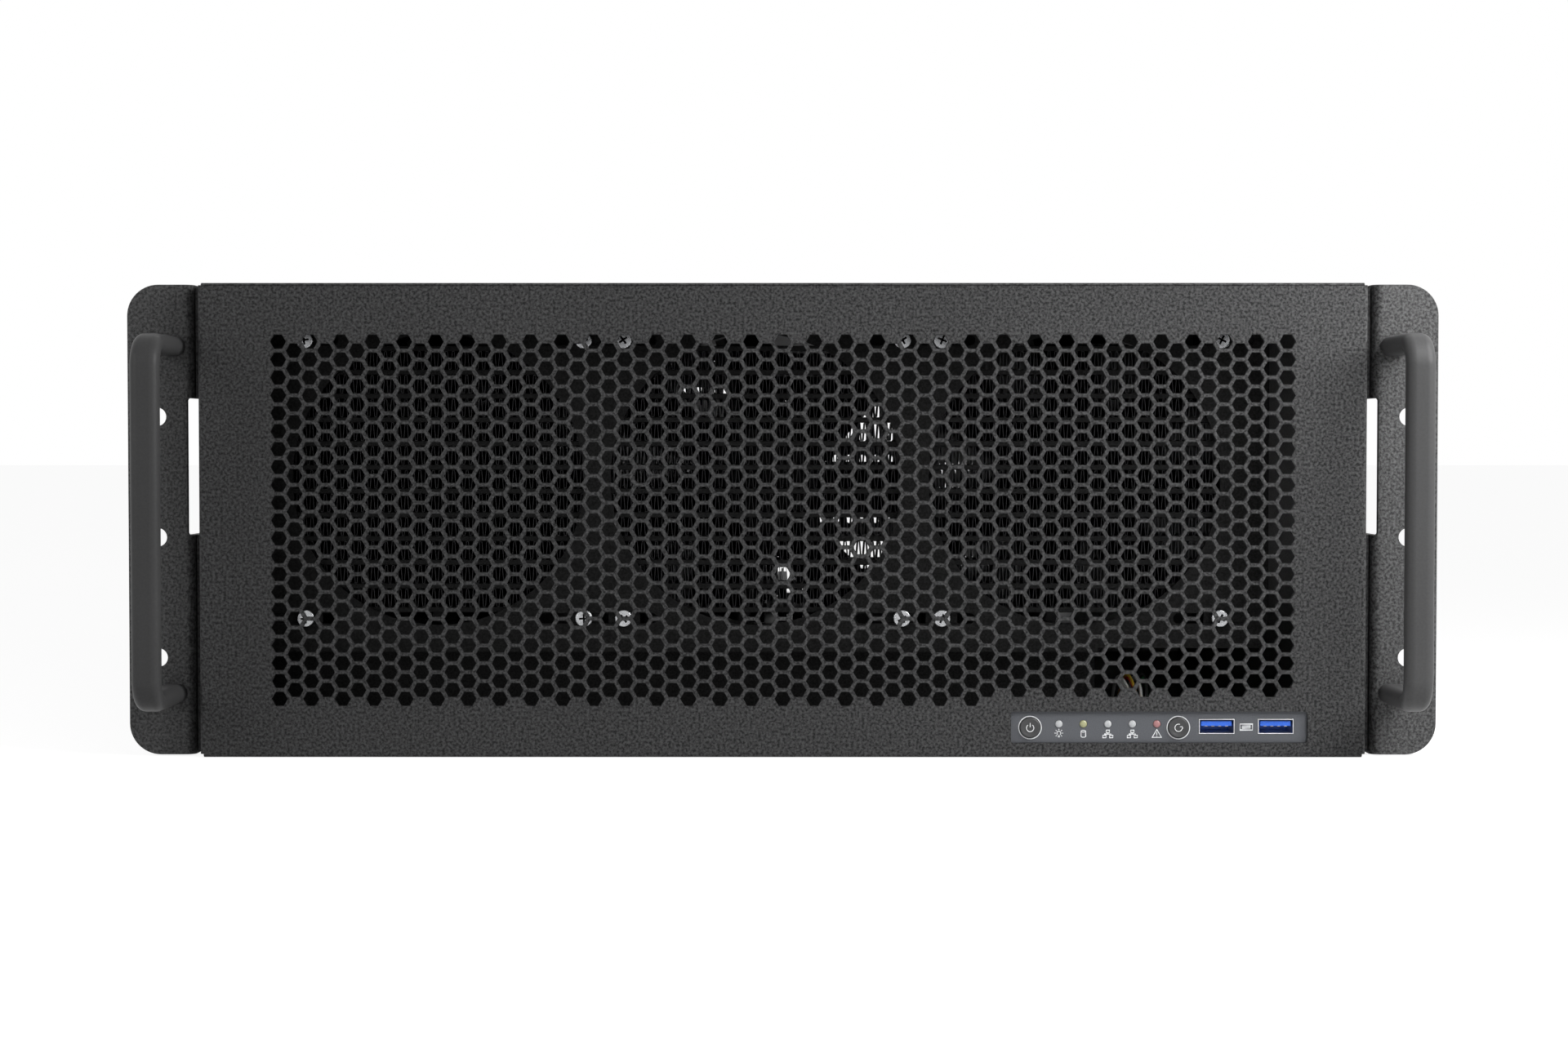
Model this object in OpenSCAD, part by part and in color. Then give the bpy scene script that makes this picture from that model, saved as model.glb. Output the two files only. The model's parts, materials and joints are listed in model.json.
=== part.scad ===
// Liquid-cooled graphics server in a four rack unit chassis.
// Frame: +X to the right seen from the front, the front looks along -Y, +Z is up.
// Origin: on the surface below the chassis, at the centre of the whole outline.

/* [Chassis] */
// Width over the two side walls
chassis_w = 434; // [430:0.5:438]
// Height from the floor sheet to the cover
chassis_h = 174; // [173:0.5:177]
// Depth from the front of the rack ears to the outside of the rear panel
chassis_d = 673; // [655:1:760]
// Thickness of the chassis sheet metal
sheet = 1.2; // [1:0.1:1.5]
// Width of the folded flanges that carry the cover
flange_w = 12; // [8:1:15]

/* [Rack ears] */
// Width over both rack ears
rack_w = 482.6; // [481:0.1:483]
// Distance between the left and right rows of rack slots
rack_slot_gap = 465.1; // [464:0.1:466]
// Height of one rack unit
rack_unit = 44.45; // [44.45]
// Thickness of the ear plate
ear_t = 3; // [2.5:0.1:3.5]
// Height that the ears stay short of the chassis, in all
ear_short = 0.6; // [0.4:0.1:2]
// Outer radius of the fold between an ear's flange and leg
ear_bend = 3.7; // [3.6:0.1:5]
// Radius of an ear's outer corners
ear_corner = 11.5; // [4:0.5:14]
// Length of the leg that lies along the side wall
ear_leg = 48; // [42:1:60]
// Height of a rack slot
slot_h = 6.8; // [6.4:0.1:7.2]
// Length of a rack slot
slot_w = 10.8; // [9:0.1:12]
// Height of the window through an ear's fold
window_h = 50.5; // [40:0.5:54]
// Height of the window's centre above the chassis centre
window_rise = 19.75; // [10:0.25:22]
// How far the window cuts into the ear's flange
window_cut = 2.4; // [1.5:0.1:2.8]
// Depth of the window in the ear's leg and the side wall
window_d = 25; // [18:1:28]

/* [Handles] */
// Distance between the handle's legs
handle_pitch = 128; // [110:1:140]
// How far a handle reaches in front of the ear
handle_reach = 45; // [38:1:55]
// Width of the oval rod, seen from the front
rod_w = 10.5; // [9:0.1:12]
// Depth of the oval rod
rod_d = 7; // [6:0.1:9]
// Outer radius of the handle's corners
rod_bend = 12; // [10:0.5:20]
// Distance from a handle's centre to the ear's outer edge
handle_inset = 16.1; // [14:0.1:17]

/* [Front panel] */
// How far the panel stands in front of the ears
panel_lead = 7; // [5:0.5:8]
// Gap between the panel and each side wall
panel_gap = 1.9; // [1.5:0.1:3]
// Depth of the folded edge round the panel
panel_return = 15; // [12:1:18]
// Outer radius of the panel's folds
panel_bend = 1.6; // [1.5:0.1:2.5]

/* [Grille] */
// Width of a hexagonal hole across its flats
hex_af = 10; // [9:0.5:10.5]
// Distance between two columns of holes
hex_step_x = 11.54; // [11.4:0.02:11.7]
// Distance between two holes of a column
hex_step_z = 13.08; // [12.5:0.02:13.2]
// Number of columns of holes, an odd number
hex_columns = 33; // [21:2:33]
// Number of steps between the top and bottom holes of a column
hex_rows = 10; // [6:2:10]

/* [Control plate] */
// Width of the plate's window in the front panel
io_w = 108.8; // [106:0.1:112]
// Height of the plate's window
io_h = 11.5; // [10.5:0.1:12]
// Distance from the chassis centre to the window's centre
io_x = 138.2; // [125:0.1:140]
// Height of the window's centre above the floor
io_z = 11.1; // [11:0.1:12.5]
// Diameter of a push button
button_d = 7.5; // [7:0.1:8]
// Travel of a push button
button_travel = 0.8; // [0.5:0.1:0.8]
// Diameter of an indicator lamp
lamp_d = 2.7; // [2:0.1:3]
// Distance between two lamps
lamp_pitch = 9; // [8:0.1:9.2]

/* [Radiator] */
// Distance from the ears to the front of the mounting plate
plate_setback = 23; // [22:1:30]
// Thickness of the mounting plate
plate_t = 1.5; // [1.2:0.1:2]
// Diameter of the round openings in the mounting plate
plate_hole_d = 110; // [100:1:112]
// Offset of the middle opening from the chassis centre
plate_x = -10; // [-14:1:-8]
// Gap between the fans and the underside of the cover
fan_room = 11.1; // [10.7:0.1:16]
// Depth of the radiator
radiator_t = 30; // [27:1:34]
// Height of the radiator
radiator_h = 120; // [116:1:120]
// Depth of a flat coolant tube
tube_d = 26; // [22:1:26]
// Distance between two coolant tubes
tube_pitch = 9; // [8:0.1:10]
// Height of a flat coolant tube
tube_h = 2; // [1.6:0.1:2.2]
// Length of one fold of the fins
fin_pitch = 8; // [7:0.5:10]
// Thickness of a fin sheet
fin_t = 0.4; // [0.3:0.05:0.6]

/* [Fans] */
// Side of a fan's square frame
fan_size = 120; // [118:1:120]
// Thickness of a fan
fan_t = 25; // [25:1:28]
// Distance between the screws of a fan
fan_screws = 105; // [103:0.5:106]
// Diameter of the rotor over its blades
rotor_d = 113; // [108:0.5:114]
// Number of blades
blade_count = 7; // [5:1:9]
// Diameter of the hub
hub_d = 41; // [38:1:44]

/* [Mainboard] */
// Width of the mainboard
board_w = 305; // [300:1:305]
// Depth of the mainboard
board_d = 330; // [320:1:330]
// Thickness of the mainboard
board_t = 1.6; // [1.4:0.1:2]
// Height of the spacers below the mainboard
spacer_h = 8; // [6:0.5:8]
// Height of a memory module
module_h = 31; // [26:1:40]

/* [Graphics cards] */
// Number of graphics cards
card_count = 4; // [4]
// Length of a graphics card
card_l = 267; // [240:1:270]
// Height of a graphics card
card_h = 111; // [100:1:112]
// Distance between two graphics cards
card_pitch = 40.64; // [40.64]
// Thickness of a card's water block
block_t = 14; // [12:0.5:16]

/* [Coolant loop] */
// Outer diameter of the hoses
hose_d = 12; // [11:0.5:13]
// Diameter of the reservoir
reservoir_d = 58; // [50:1:58]
// Gap between the reservoir's filler plug and the underside of the cover
reservoir_room = 6.6; // [4:0.2:20]
// Side of the pump block
pump_w = 60; // [60:1:64]

/* [Power supplies] */
// Number of power supply modules
psu_count = 4; // [4]
// Width of a power supply
psu_w = 54.5; // [52:0.5:54.5]
// Gap between the cage of the supplies and the underside of the cover
cage_room = 3.4; // [3:0.1:6]
// Depth of a power supply
psu_d = 185; // [170:1:200]
// How far the handles reach behind the rear panel
psu_reach = 22; // [20:1:26]
// Angle that a release lever turns through
lever_angle = 8; // [4:1:8]

/* [Hidden] */

// Clearances
fit = 0.2;            // between two fixed pieces
run = 0.4;            // between a piece and the guide it slides in
shaft_gap = 0.05;     // between a shaft and its bore, on the radius

// Chassis frame
total_d = handle_reach + chassis_d + psu_reach;
ear_y = handle_reach - total_d/2;
rear_y = ear_y + chassis_d;
panel_y = ear_y - panel_lead;
half_w = chassis_w/2;
inner_x = half_w - sheet;
mid_z = chassis_h/2;
under_cover = chassis_h - sheet;
back_y = rear_y - sheet;
panel_half = inner_x - panel_gap;
return_y = panel_y + panel_return;
cover_y = return_y + run;

// Ears and handles
leg_x = half_w + fit;
ear_z = ear_short/2;
ear_h = chassis_h - ear_short;
window_z = mid_z + window_rise;
wall_y = ear_y + ear_bend;
foot_x = half_w - 27;
foot_y = [ear_y + 75, rear_y - 75];
foot_hole_r = 2.2;
rail_y = [ear_y + 120, ear_y + 560];
rail_rise = 22;
rail_hole_r = 2.1;
handle_x = rack_w/2 - handle_inset;
ear_screw_y = ear_y + ear_leg - 10;
ear_screw_r = 2;
ear_screw_z = [for (k = [-1.5:1:1.5]) mid_z + k*rack_unit];
handle_screw_r = 2.5;

// Brace and control plate
brace_t = 1.5;
brace_y = panel_y + sheet + fit;
brace_end = ear_y + plate_setback - 1;
io_plate_t = 1.2;
io_face = panel_y + sheet;
io_back = io_face + io_plate_t;
io_rim = 2;
shelf_z = io_z - io_h/2 - io_rim;
shelf_t = 1.5;
usb_w = 13.1;
usb_h = 5.5;
usb_wall = 0.3;
usb_l = 14.5;
usb_z = io_z + 0.2;
usb_x = [io_x + 21.3, io_x + 43];
pcb_top = usb_z - usb_h/2;
pcb_t = 1.6;
pcb_y = io_back + 3.1;
pcb_l = 21;
button_x = [io_x - 47.3, io_x + 7.2];
button_z = io_z - 0.2;
cap_y = io_face - 0.9;
cap_end = io_back + 1.7;
plunger_end = io_back + 5.1;
lamp_x = [for (i = [0:4]) io_x - 36.7 + i*lamp_pitch];
lamp_z = io_z + 1.1;

// Radiator and fans
plate_z = under_cover - fan_room - fan_size/2;
plate_y = ear_y + plate_setback;
plate_back = plate_y + plate_t;
cooler_x = plate_x + 2.5;
bay_x = [for (i = [-1:1]) i*fan_size];
plate_low = plate_z - 63.7;
plate_right = plate_x + 191;
plate_flange = 14;
skirt_y = plate_back + 11.5;
skirt_right = plate_right - 62;
core_l = 3*fan_size - 4;
tank_l = [20, 13];
radiator_z = plate_z - radiator_h/2;
radiator_back = plate_back + radiator_t;
rail_h = 2.5;
tab_z = fan_screws/2 - 4;
tab_h = radiator_h/2 - tab_z;
tube_count = floor((radiator_h - 2*rail_h - 4)/tube_pitch);
tube_z = [for (i = [0:tube_count - 1]) plate_z + (i - (tube_count - 1)/2)*tube_pitch];
port_x = cooler_x - core_l/2 - tank_l[0]/2 - 1.5;
port_z = [plate_z - 43.7, plate_z + 44.3];
fan_y = radiator_back;
fan_back = fan_y + fan_t;
fan_bore = rotor_d/2 + 1.5;
hub_y = fan_y + 2.5;
hub_end = fan_back - 4.5;
shaft_r = 1.5;

// Mainboard, cards and coolant
board_z = sheet + spacer_h;
board_top = board_z + board_t;
board_y = back_y - fit - board_d;
board_x = -157;
card_x = [for (i = [0:card_count - 1]) board_x + 10 + i*card_pitch];
card_z = board_top + 3.2;
card_t = 1.6;
card_y = back_y - 0.9 - card_l;
cpu_x = board_x + 225;
cpu_y = board_y + 113;
memory_x = [for (s = [-1, 1], i = [0:3]) cpu_x + s*(45 + i*8)];
socket_h = 8;
pump_x = -inner_x + 9.8 + pump_w/2;
pump_y = fan_back + 110;
pump_h = 50;
cap_h = 16;
lid_h = 12;
plug_h = 3;
reservoir_z = sheet + pump_h + cap_h;
reservoir_h = under_cover - reservoir_room - plug_h - lid_h - reservoir_z;
manifold_y = card_y - 39;
manifold_z = card_z + 34;
fitting_r = hose_d/2 + 1;

// Power supplies
cage_t = 1;
cage_right = inner_x - fit;
cage_left = cage_right - psu_w - 2*run - 2*cage_t;
psu_x = cage_left + cage_t + run;
psu_pitch = (under_cover - cage_room - cage_t - sheet)/psu_count;
psu_h = psu_pitch - 2*run - cage_t;
psu_z = [for (i = [0:psu_count - 1]) sheet + cage_t + run + i*psu_pitch];
psu_back = rear_y + 1;
psu_front = psu_back - psu_d;
cage_front = psu_front - 8;
lever_x = psu_w - 4;
lever_y = psu_back - 8;
pin_r = 1;

// Routes that the soft pieces lie along, chosen by hand
cable_d = 5;
cable_route = [
  [136, -301, 12], [136, -295, 12], [136, -288, 21], [134, -281, 26], [132, -272, 17],
  [131, -262, 7], [130, -240, 4.5], [128, -150, 4.5], [126, -60, 4.5], [124, -6, 4.5],
  [123, 4, 9], [122, 13, 15], [122, 22, 15]
];

// ---- shared shapes ----

// Block from its low corner to its high corner
module block(low, high) translate(low) cube(high - low);

// Round rod along +Y from one place to another
module rod_y(r, y0, y1, x, z, sides = 48)
  translate([x, y0, z]) rotate([-90, 0, 0]) cylinder(r = r, h = y1 - y0, $fn = sides);

// Round rod along +X
module rod_x(r, x0, x1, y, z, sides = 48)
  translate([x0, y, z]) rotate([0, 90, 0]) cylinder(r = r, h = x1 - x0, $fn = sides);

// Round rod along +Z
module rod_z(r, z0, z1, x, y, sides = 48)
  translate([x, y, z0]) cylinder(r = r, h = z1 - z0, $fn = sides);

// Flat outline with round corners, from the origin
module round_rect(w, h, r) {
  translate([r, 0]) square([w - 2*r, h]);
  translate([0, r]) square([w, h - 2*r]);
  for (x = [r, w - r], y = [r, h - r]) translate([x, y]) circle(r, $fn = 32);
}

// Upright slab with round corners, from a low corner to a high corner
module slab_y(low, high, r)
  translate([low[0], high[1], low[2]]) rotate([90, 0, 0])
    linear_extrude(high[1] - low[1]) round_rect(high[0] - low[0], high[2] - low[2], r);

// Sideways slot that is cut along +Y
module slot_y(w, h, y0, y1, x, z) slab_y([x - w/2, y0, z - h/2], [x + w/2, y1, z + h/2], min(w, h)/2 - 0.01);

// Copies to both sides of the chassis
module both_sides() {
  children();
  mirror([1, 0, 0]) children();
}

// ---- tubes swept along a route ----

function unit(v) = v/norm(v);
function bow(a, b, c, d, t) =
  ((2*b) + (c - a)*t + (2*a - 5*b + 4*c - d)*t*t + (3*b - a - 3*c + d)*t*t*t)/2;
function at(p, i) = p[max(0, min(len(p) - 1, i))];
function smooth(p, n) = concat(
  [for (i = [0:len(p) - 2], k = [0:n - 1]) bow(at(p, i - 1), p[i], p[i + 1], at(p, i + 2), k/n)],
  [p[len(p) - 1]]
);
function heading(p, i) = unit(at(p, i + 1) - at(p, i - 1));
function turned(v, t) = unit(v - (v*t)*t);
function headings(p, route) = concat(
  [unit(route[1] - route[0])],
  [for (i = [1:len(p) - 2]) heading(p, i)],
  [unit(route[len(route) - 1] - route[len(route) - 2])]
);
function frames(h, i = 0, side = [1, 0.02, 0.01]) =
  i == len(h) ? [] : concat([turned(side, h[i])], frames(h, i + 1, turned(side, h[i])));

// One closed tube, whose flat ends lie square to the route's first and last stretch
module tube(route, d, steps, sides = 12) {
  p = smooth(route, steps);
  h = headings(p, route);
  u = frames(h);
  n = len(p);
  rings = [for (i = [0:n - 1], k = [0:sides - 1])
    p[i] + d/2*(cos(360*k/sides)*u[i] + sin(360*k/sides)*cross(h[i], u[i]))];
  walls = [for (i = [0:n - 2], k = [0:sides - 1])
    [i*sides + k, (i + 1)*sides + k, (i + 1)*sides + (k + 1)%sides, i*sides + (k + 1)%sides]];
  polyhedron(rings, concat(
    [[for (k = [0:sides - 1]) k]], [for (w = walls) [w[0], w[1], w[2]]],
    [for (w = walls) [w[0], w[2], w[3]]], [[for (k = [sides - 1:-1:0]) (n - 1)*sides + k]]
  ));
}

// ---- chassis ----

module base_tray() color("#2b2c2e") difference() {
  block([-half_w, cover_y, 0], [half_w, rear_y, sheet]);
  for (s = [-1, 1], y = foot_y) rod_z(foot_hole_r, -1, sheet + 1, s*foot_x, y);
}

// Right-hand wall with the flange that carries the cover
module side_wall() difference() {
  union() {
    block([inner_x, wall_y, sheet], [half_w, rear_y, under_cover]);
    block([inner_x - flange_w, plate_y + plate_flange + fit, under_cover - sheet], [half_w, back_y, under_cover]);
  }
  block([inner_x - 1, wall_y - 1, window_z - window_h/2],
        [half_w + 1, ear_y + window_d, window_z + window_h/2]);
  for (z = ear_screw_z) rod_x(ear_screw_r + shaft_gap, inner_x - 1, half_w + 1, ear_screw_y, z);
  for (y = rail_y, s = [-1, 1]) rod_x(rail_hole_r, inner_x - 1, half_w + 1, y, mid_z + s*rail_rise);
}
module side_wall_right() color("#2b2c2e") side_wall();
module side_wall_left() color("#2b2c2e") mirror([1, 0, 0]) side_wall();

// Rear wall with the windows for the supplies, the board's sockets and the cards
module rear_panel() color("#2b2c2e") difference() {
  block([-inner_x, back_y, sheet], [inner_x, rear_y, under_cover]);
  block([cage_left + cage_t, back_y - 1, sheet + cage_t],
        [cage_right - cage_t, rear_y + 1, psu_z[psu_count - 1] + psu_h + run]);
  block([cage_left - 163, back_y - 1, board_top], [cage_left - 7, rear_y + 1, board_top + 44.5]);
  for (x = card_x)
    block([x - 15.5, back_y - 1, card_z + 6], [x + 15.5, rear_y + 1, card_z + card_h - 2]);
  for (i = [0:17]) {
    slot_y(4, 42, back_y - 1, rear_y + 1, cage_left - 20 - i*8.2, under_cover - 36);
    slot_y(4, 42, back_y - 1, rear_y + 1, cage_left - 20 - i*8.2, under_cover - 86);
  }
  for (i = [0:18])
    slot_y(4, 22, back_y - 1, rear_y + 1, card_x[0] - 12 + i*8.2, under_cover - 18);
}

// Frame behind the front panel that ties it to the tray
module brace_arm() {
  block([panel_half - sheet - brace_t, brace_y, sheet + brace_t],
        [panel_half - sheet, brace_end, under_cover - brace_t]);
  block([panel_half - sheet - 28, brace_y, under_cover - brace_t],
        [panel_half - sheet, brace_end, under_cover]);
}
module front_brace() color("#2b2c2e") {
  block([-panel_half + sheet, brace_y, sheet], [panel_half - sheet, brace_end, sheet + brace_t]);
  both_sides() brace_arm();
}

// ---- front panel ----

// Outline of the folded pan, seen along a fold
module pan_outline(w) {
  translate([-w/2, panel_bend]) square([w, panel_return - panel_bend]);
  translate([-w/2 + panel_bend, 0]) square([w - 2*panel_bend, panel_return]);
  for (s = [-1, 1]) translate([s*(w/2 - panel_bend), panel_bend]) circle(panel_bend, $fn = 32);
}
module hex_hole(x, z)
  translate([x, panel_y - 1, z]) rotate([-90, 0, 0]) cylinder(r = hex_af/sqrt(3), h = sheet + 2, $fn = 6);
module hex_grille() {
  for (c = [0:hex_columns - 1]) {
    x = (c - (hex_columns - 1)/2)*hex_step_x;
    odd = c%2;
    low = x > io_x - io_w/2 - hex_af ? 1 : 0;
    for (r = [low:hex_rows - odd])
      hex_hole(x, mid_z + (r - hex_rows/2 + odd/2)*hex_step_z);
  }
}
module front_panel() color("#37383b") difference() {
  intersection() {
    translate([0, panel_y, 0]) linear_extrude(chassis_h) pan_outline(2*panel_half);
    translate([-panel_half, panel_y, mid_z]) rotate([0, 90, 0]) linear_extrude(2*panel_half)
      pan_outline(chassis_h);
  }
  block([-panel_half + sheet, panel_y + sheet, sheet],
        [panel_half - sheet, return_y + 1, chassis_h - sheet]);
  hex_grille();
  slab_y([io_x - io_w/2, panel_y - 1, io_z - io_h/2], [io_x + io_w/2, panel_y + sheet + 1, io_z + io_h/2], 1);
}

// ---- rack ears and handles ----

module ear_plan() {
  translate([leg_x + ear_bend, ear_y]) square([rack_w/2 - leg_x - ear_bend, ear_t]);
  translate([leg_x, ear_y + ear_bend]) square([ear_t, ear_leg - ear_bend]);
  intersection() {
    translate([leg_x, ear_y]) square(ear_bend);
    translate([leg_x + ear_bend, ear_y + ear_bend]) difference() {
      circle(ear_bend, $fn = 64);
      circle(ear_bend - ear_t, $fn = 64);
    }
  }
}
module ear() difference() {
  translate([0, 0, ear_z]) linear_extrude(ear_h) ear_plan();
  for (z = [ear_z, ear_z + ear_h - ear_corner]) difference() {
    block([rack_w/2 - ear_corner, ear_y - 1, z - (z < mid_z ? 1 : 0)],
          [rack_w/2 + 1, ear_y + ear_t + 1, z + ear_corner + (z < mid_z ? 0 : 1)]);
    rod_y(ear_corner, ear_y - 2, ear_y + ear_t + 2, rack_w/2 - ear_corner,
          z < mid_z ? z + ear_corner : z);
  }
  for (k = [-1:1])
    slot_y(slot_w, slot_h, ear_y - 1, ear_y + ear_t + 1, rack_slot_gap/2, mid_z - rack_unit/7 + k*rack_unit);
  slab_y([leg_x - 3, ear_y - 1, window_z - window_h/2],
         [leg_x + window_cut, ear_y + ear_t + 1, window_z + window_h/2], 1);
  block([leg_x - 1, ear_y + ear_t, window_z - window_h/2],
        [leg_x + ear_t + 1, ear_y + window_d, window_z + window_h/2]);
  for (z = ear_screw_z) rod_x(ear_screw_r + shaft_gap, half_w - 1, leg_x + ear_t + 1, ear_screw_y, z);
  for (s = [-1, 1])
    rod_y(handle_screw_r + shaft_gap, ear_y - 1, ear_y + ear_t + 1, handle_x, mid_z + s*handle_pitch/2);
}
module ear_right() color("#3c3d40") ear();
module ear_left() color("#3c3d40") mirror([1, 0, 0]) ear();

module ear_screws() color("#8d8f92") both_sides() for (z = ear_screw_z) {
  rod_x(ear_screw_r, inner_x, leg_x + ear_t, ear_screw_y, z);
  rod_x(ear_screw_r*1.9, leg_x + ear_t, leg_x + ear_t + 1, ear_screw_y, z);
}

// Oval section of the handle rod
module rod_section() {
  square([rod_w - rod_d, rod_d], center = true);
  for (s = [-1, 1]) translate([s*(rod_w - rod_d)/2, 0]) circle(rod_d/2, $fn = 48);
}
module handle() {
  bend = rod_bend - rod_d/2;
  bar_y = ear_y - handle_reach + rod_d/2;
  difference() {
    for (s = [-1, 1]) translate([handle_x, ear_y, mid_z + s*handle_pitch/2])
      rotate([90, 0, 0]) linear_extrude(ear_y - bar_y - bend) rod_section();
    for (s = [-1, 1])
      rod_y(handle_screw_r + shaft_gap, ear_y - 12, ear_y + 1, handle_x, mid_z + s*handle_pitch/2);
  }
  translate([handle_x, bar_y, mid_z - handle_pitch/2 + bend])
    linear_extrude(handle_pitch - 2*bend) rod_section();
  for (s = [-1, 1]) translate([handle_x, bar_y + bend, mid_z + s*(handle_pitch/2 - bend)])
    rotate([90, 0, 90]) rotate([0, 0, s > 0 ? 90 : 180]) rotate_extrude(angle = 90, $fn = 96)
      translate([bend, 0]) rotate(90) rod_section();
}
module handle_right() color("#45464a") handle();
module handle_left() color("#45464a") mirror([1, 0, 0]) handle();

module handle_screws() color("#8d8f92") both_sides() for (s = [-1, 1]) {
  rod_y(handle_screw_r, ear_y - 11, ear_y + ear_t, handle_x, mid_z + s*handle_pitch/2);
  rod_y(handle_screw_r*1.8, ear_y + ear_t, ear_y + ear_t + 2, handle_x, mid_z + s*handle_pitch/2);
}

// ---- radiator ----

// Mounting plate with its openings, screw slots and the stepped skirt below
module radiator_plate() color("#333437") difference() {
  union() {
    block([-inner_x + fit, plate_y, plate_low], [plate_right, plate_back, under_cover - sheet]);
    block([-inner_x + fit, plate_y, plate_low - plate_t], [skirt_right, skirt_y, plate_low]);
    block([-inner_x + fit, skirt_y - plate_t, sheet], [skirt_right, skirt_y, plate_low]);
    block([-inner_x + fit, plate_y, under_cover - sheet], [plate_right, plate_y + plate_flange, under_cover]);
  }
  for (x = bay_x) rod_y(plate_hole_d/2, plate_y - 1, plate_back + 1, plate_x + x, plate_z, 96);
  for (x = bay_x, sx = [-1, 1], sz = [-1, 1])
    slot_y(30, 4, plate_y - 1, plate_back + 1, plate_x + x + sx*fan_screws/2, plate_z + sz*fan_screws/2);
}

module radiator_tanks() color("#1d1e20") {
  x0 = cooler_x - core_l/2;
  x1 = cooler_x + core_l/2;
  difference() {
    union() {
      slab_y([x0 - tank_l[0], plate_back, radiator_z], [x0, radiator_back, radiator_z + radiator_h], 4);
      slab_y([x1, plate_back, radiator_z], [x1 + tank_l[1], radiator_back, radiator_z + radiator_h], 4);
      for (z = [radiator_z, radiator_z + radiator_h - rail_h])
        block([x0 - 5, plate_back, z], [x1 + 5, radiator_back, z + rail_h]);
      for (x = bay_x, sx = [-1, 1], y = [plate_back, radiator_back - 1], z = [radiator_z, plate_z + tab_z])
        block([cooler_x + x + sx*fan_screws/2 - 6, y, z], [cooler_x + x + sx*fan_screws/2 + 6, y + 1, z + tab_h]);
    }
    for (z = port_z) rod_y(5, radiator_back - 12, radiator_back + 1, port_x, z);
  }
}

module radiator_tubes() color("#26272a") for (z = tube_z) {
  x0 = cooler_x - core_l/2;
  y0 = plate_back + (radiator_t - tube_d)/2;
  block([x0, y0, z - tube_h/2], [x0 + core_l, y0 + tube_d, z + tube_h/2]);
}

// One folded sheet between two tubes, seen from the front
module fin_sheet(h) {
  folds = floor(core_l/fin_pitch)*2;
  step = core_l/folds;
  edge = [for (i = [0:folds]) [i*step, i%2 == 0 ? 0 : h - fin_t]];
  polygon(concat(edge, [for (i = [folds:-1:0]) edge[i] + [0, fin_t]]));
}
module radiator_fins() color("#5a5b5e") {
  y0 = plate_back + (radiator_t - tube_d)/2 + 1;
  edge = tube_z[0] - tube_h/2 - radiator_z - rail_h;
  rows = concat([[radiator_z + rail_h, edge]],
    [for (i = [0:tube_count - 2]) [tube_z[i] + tube_h/2, tube_pitch - tube_h]],
    [[tube_z[tube_count - 1] + tube_h/2, edge]]);
  for (row = rows)
    translate([cooler_x - core_l/2, y0 + tube_d - 2, row[0]]) rotate([90, 0, 0])
      linear_extrude(tube_d - 2) fin_sheet(row[1]);
}

module radiator_fittings() color("#1b1b1d") for (z = port_z) difference() {
  union() {
    rod_y(4.9, radiator_back - 8, radiator_back, port_x, z);
    rod_y(fitting_r, radiator_back, radiator_back + 14, port_x, z);
    rod_y(fitting_r + 0.5, radiator_back + 5, radiator_back + 12, port_x, z);
  }
  rod_y(3.5, radiator_back - 9, radiator_back + 15, port_x, z);
}

module radiator_screws() color("#b9bbbe") for (x = bay_x, sx = [-1, 1], sz = [-1, 1]) {
  screw_x = cooler_x + x + sx*fan_screws/2;
  screw_z = plate_z + sz*fan_screws/2;
  rod_y(3.4, plate_y - 2, plate_y, screw_x, screw_z);
  rod_y(1.9, plate_y, plate_back, screw_x, screw_z);
}

// ---- fans ----

module fan_flange(y0, y1) slab_y(
  [cooler_x - fan_size/2, y0, plate_z - fan_size/2], [cooler_x + fan_size/2, y1, plate_z + fan_size/2], 5);
module fan_frame(i) color("#17181a") translate([bay_x[i], 0, 0]) difference() {
  union() {
    fan_flange(fan_y, fan_y + 4);
    fan_flange(fan_back - 4, fan_back);
    rod_y(fan_size/2 - 0.1, fan_y + 2, fan_back - 2, cooler_x, plate_z, 96);
  }
  difference() {
    rod_y(fan_bore, fan_y - 1, fan_back + 1, cooler_x, plate_z, 96);
    difference() {
      union() {
        rod_y(hub_d/2, hub_end + 0.5, fan_back, cooler_x, plate_z);
        for (a = [45:90:315]) translate([cooler_x, 0, plate_z]) rotate([0, a, 0])
          block([0, fan_back - 3.5, -1.8], [fan_size/2, fan_back, 1.8]);
      }
      rod_y(shaft_r + shaft_gap, fan_y, fan_back - 1, cooler_x, plate_z);
    }
  }
  for (sx = [-1, 1], sz = [-1, 1])
    rod_y(2.2, fan_y - 1, fan_back + 1, cooler_x + sx*fan_screws/2, plate_z + sz*fan_screws/2);
}

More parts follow.
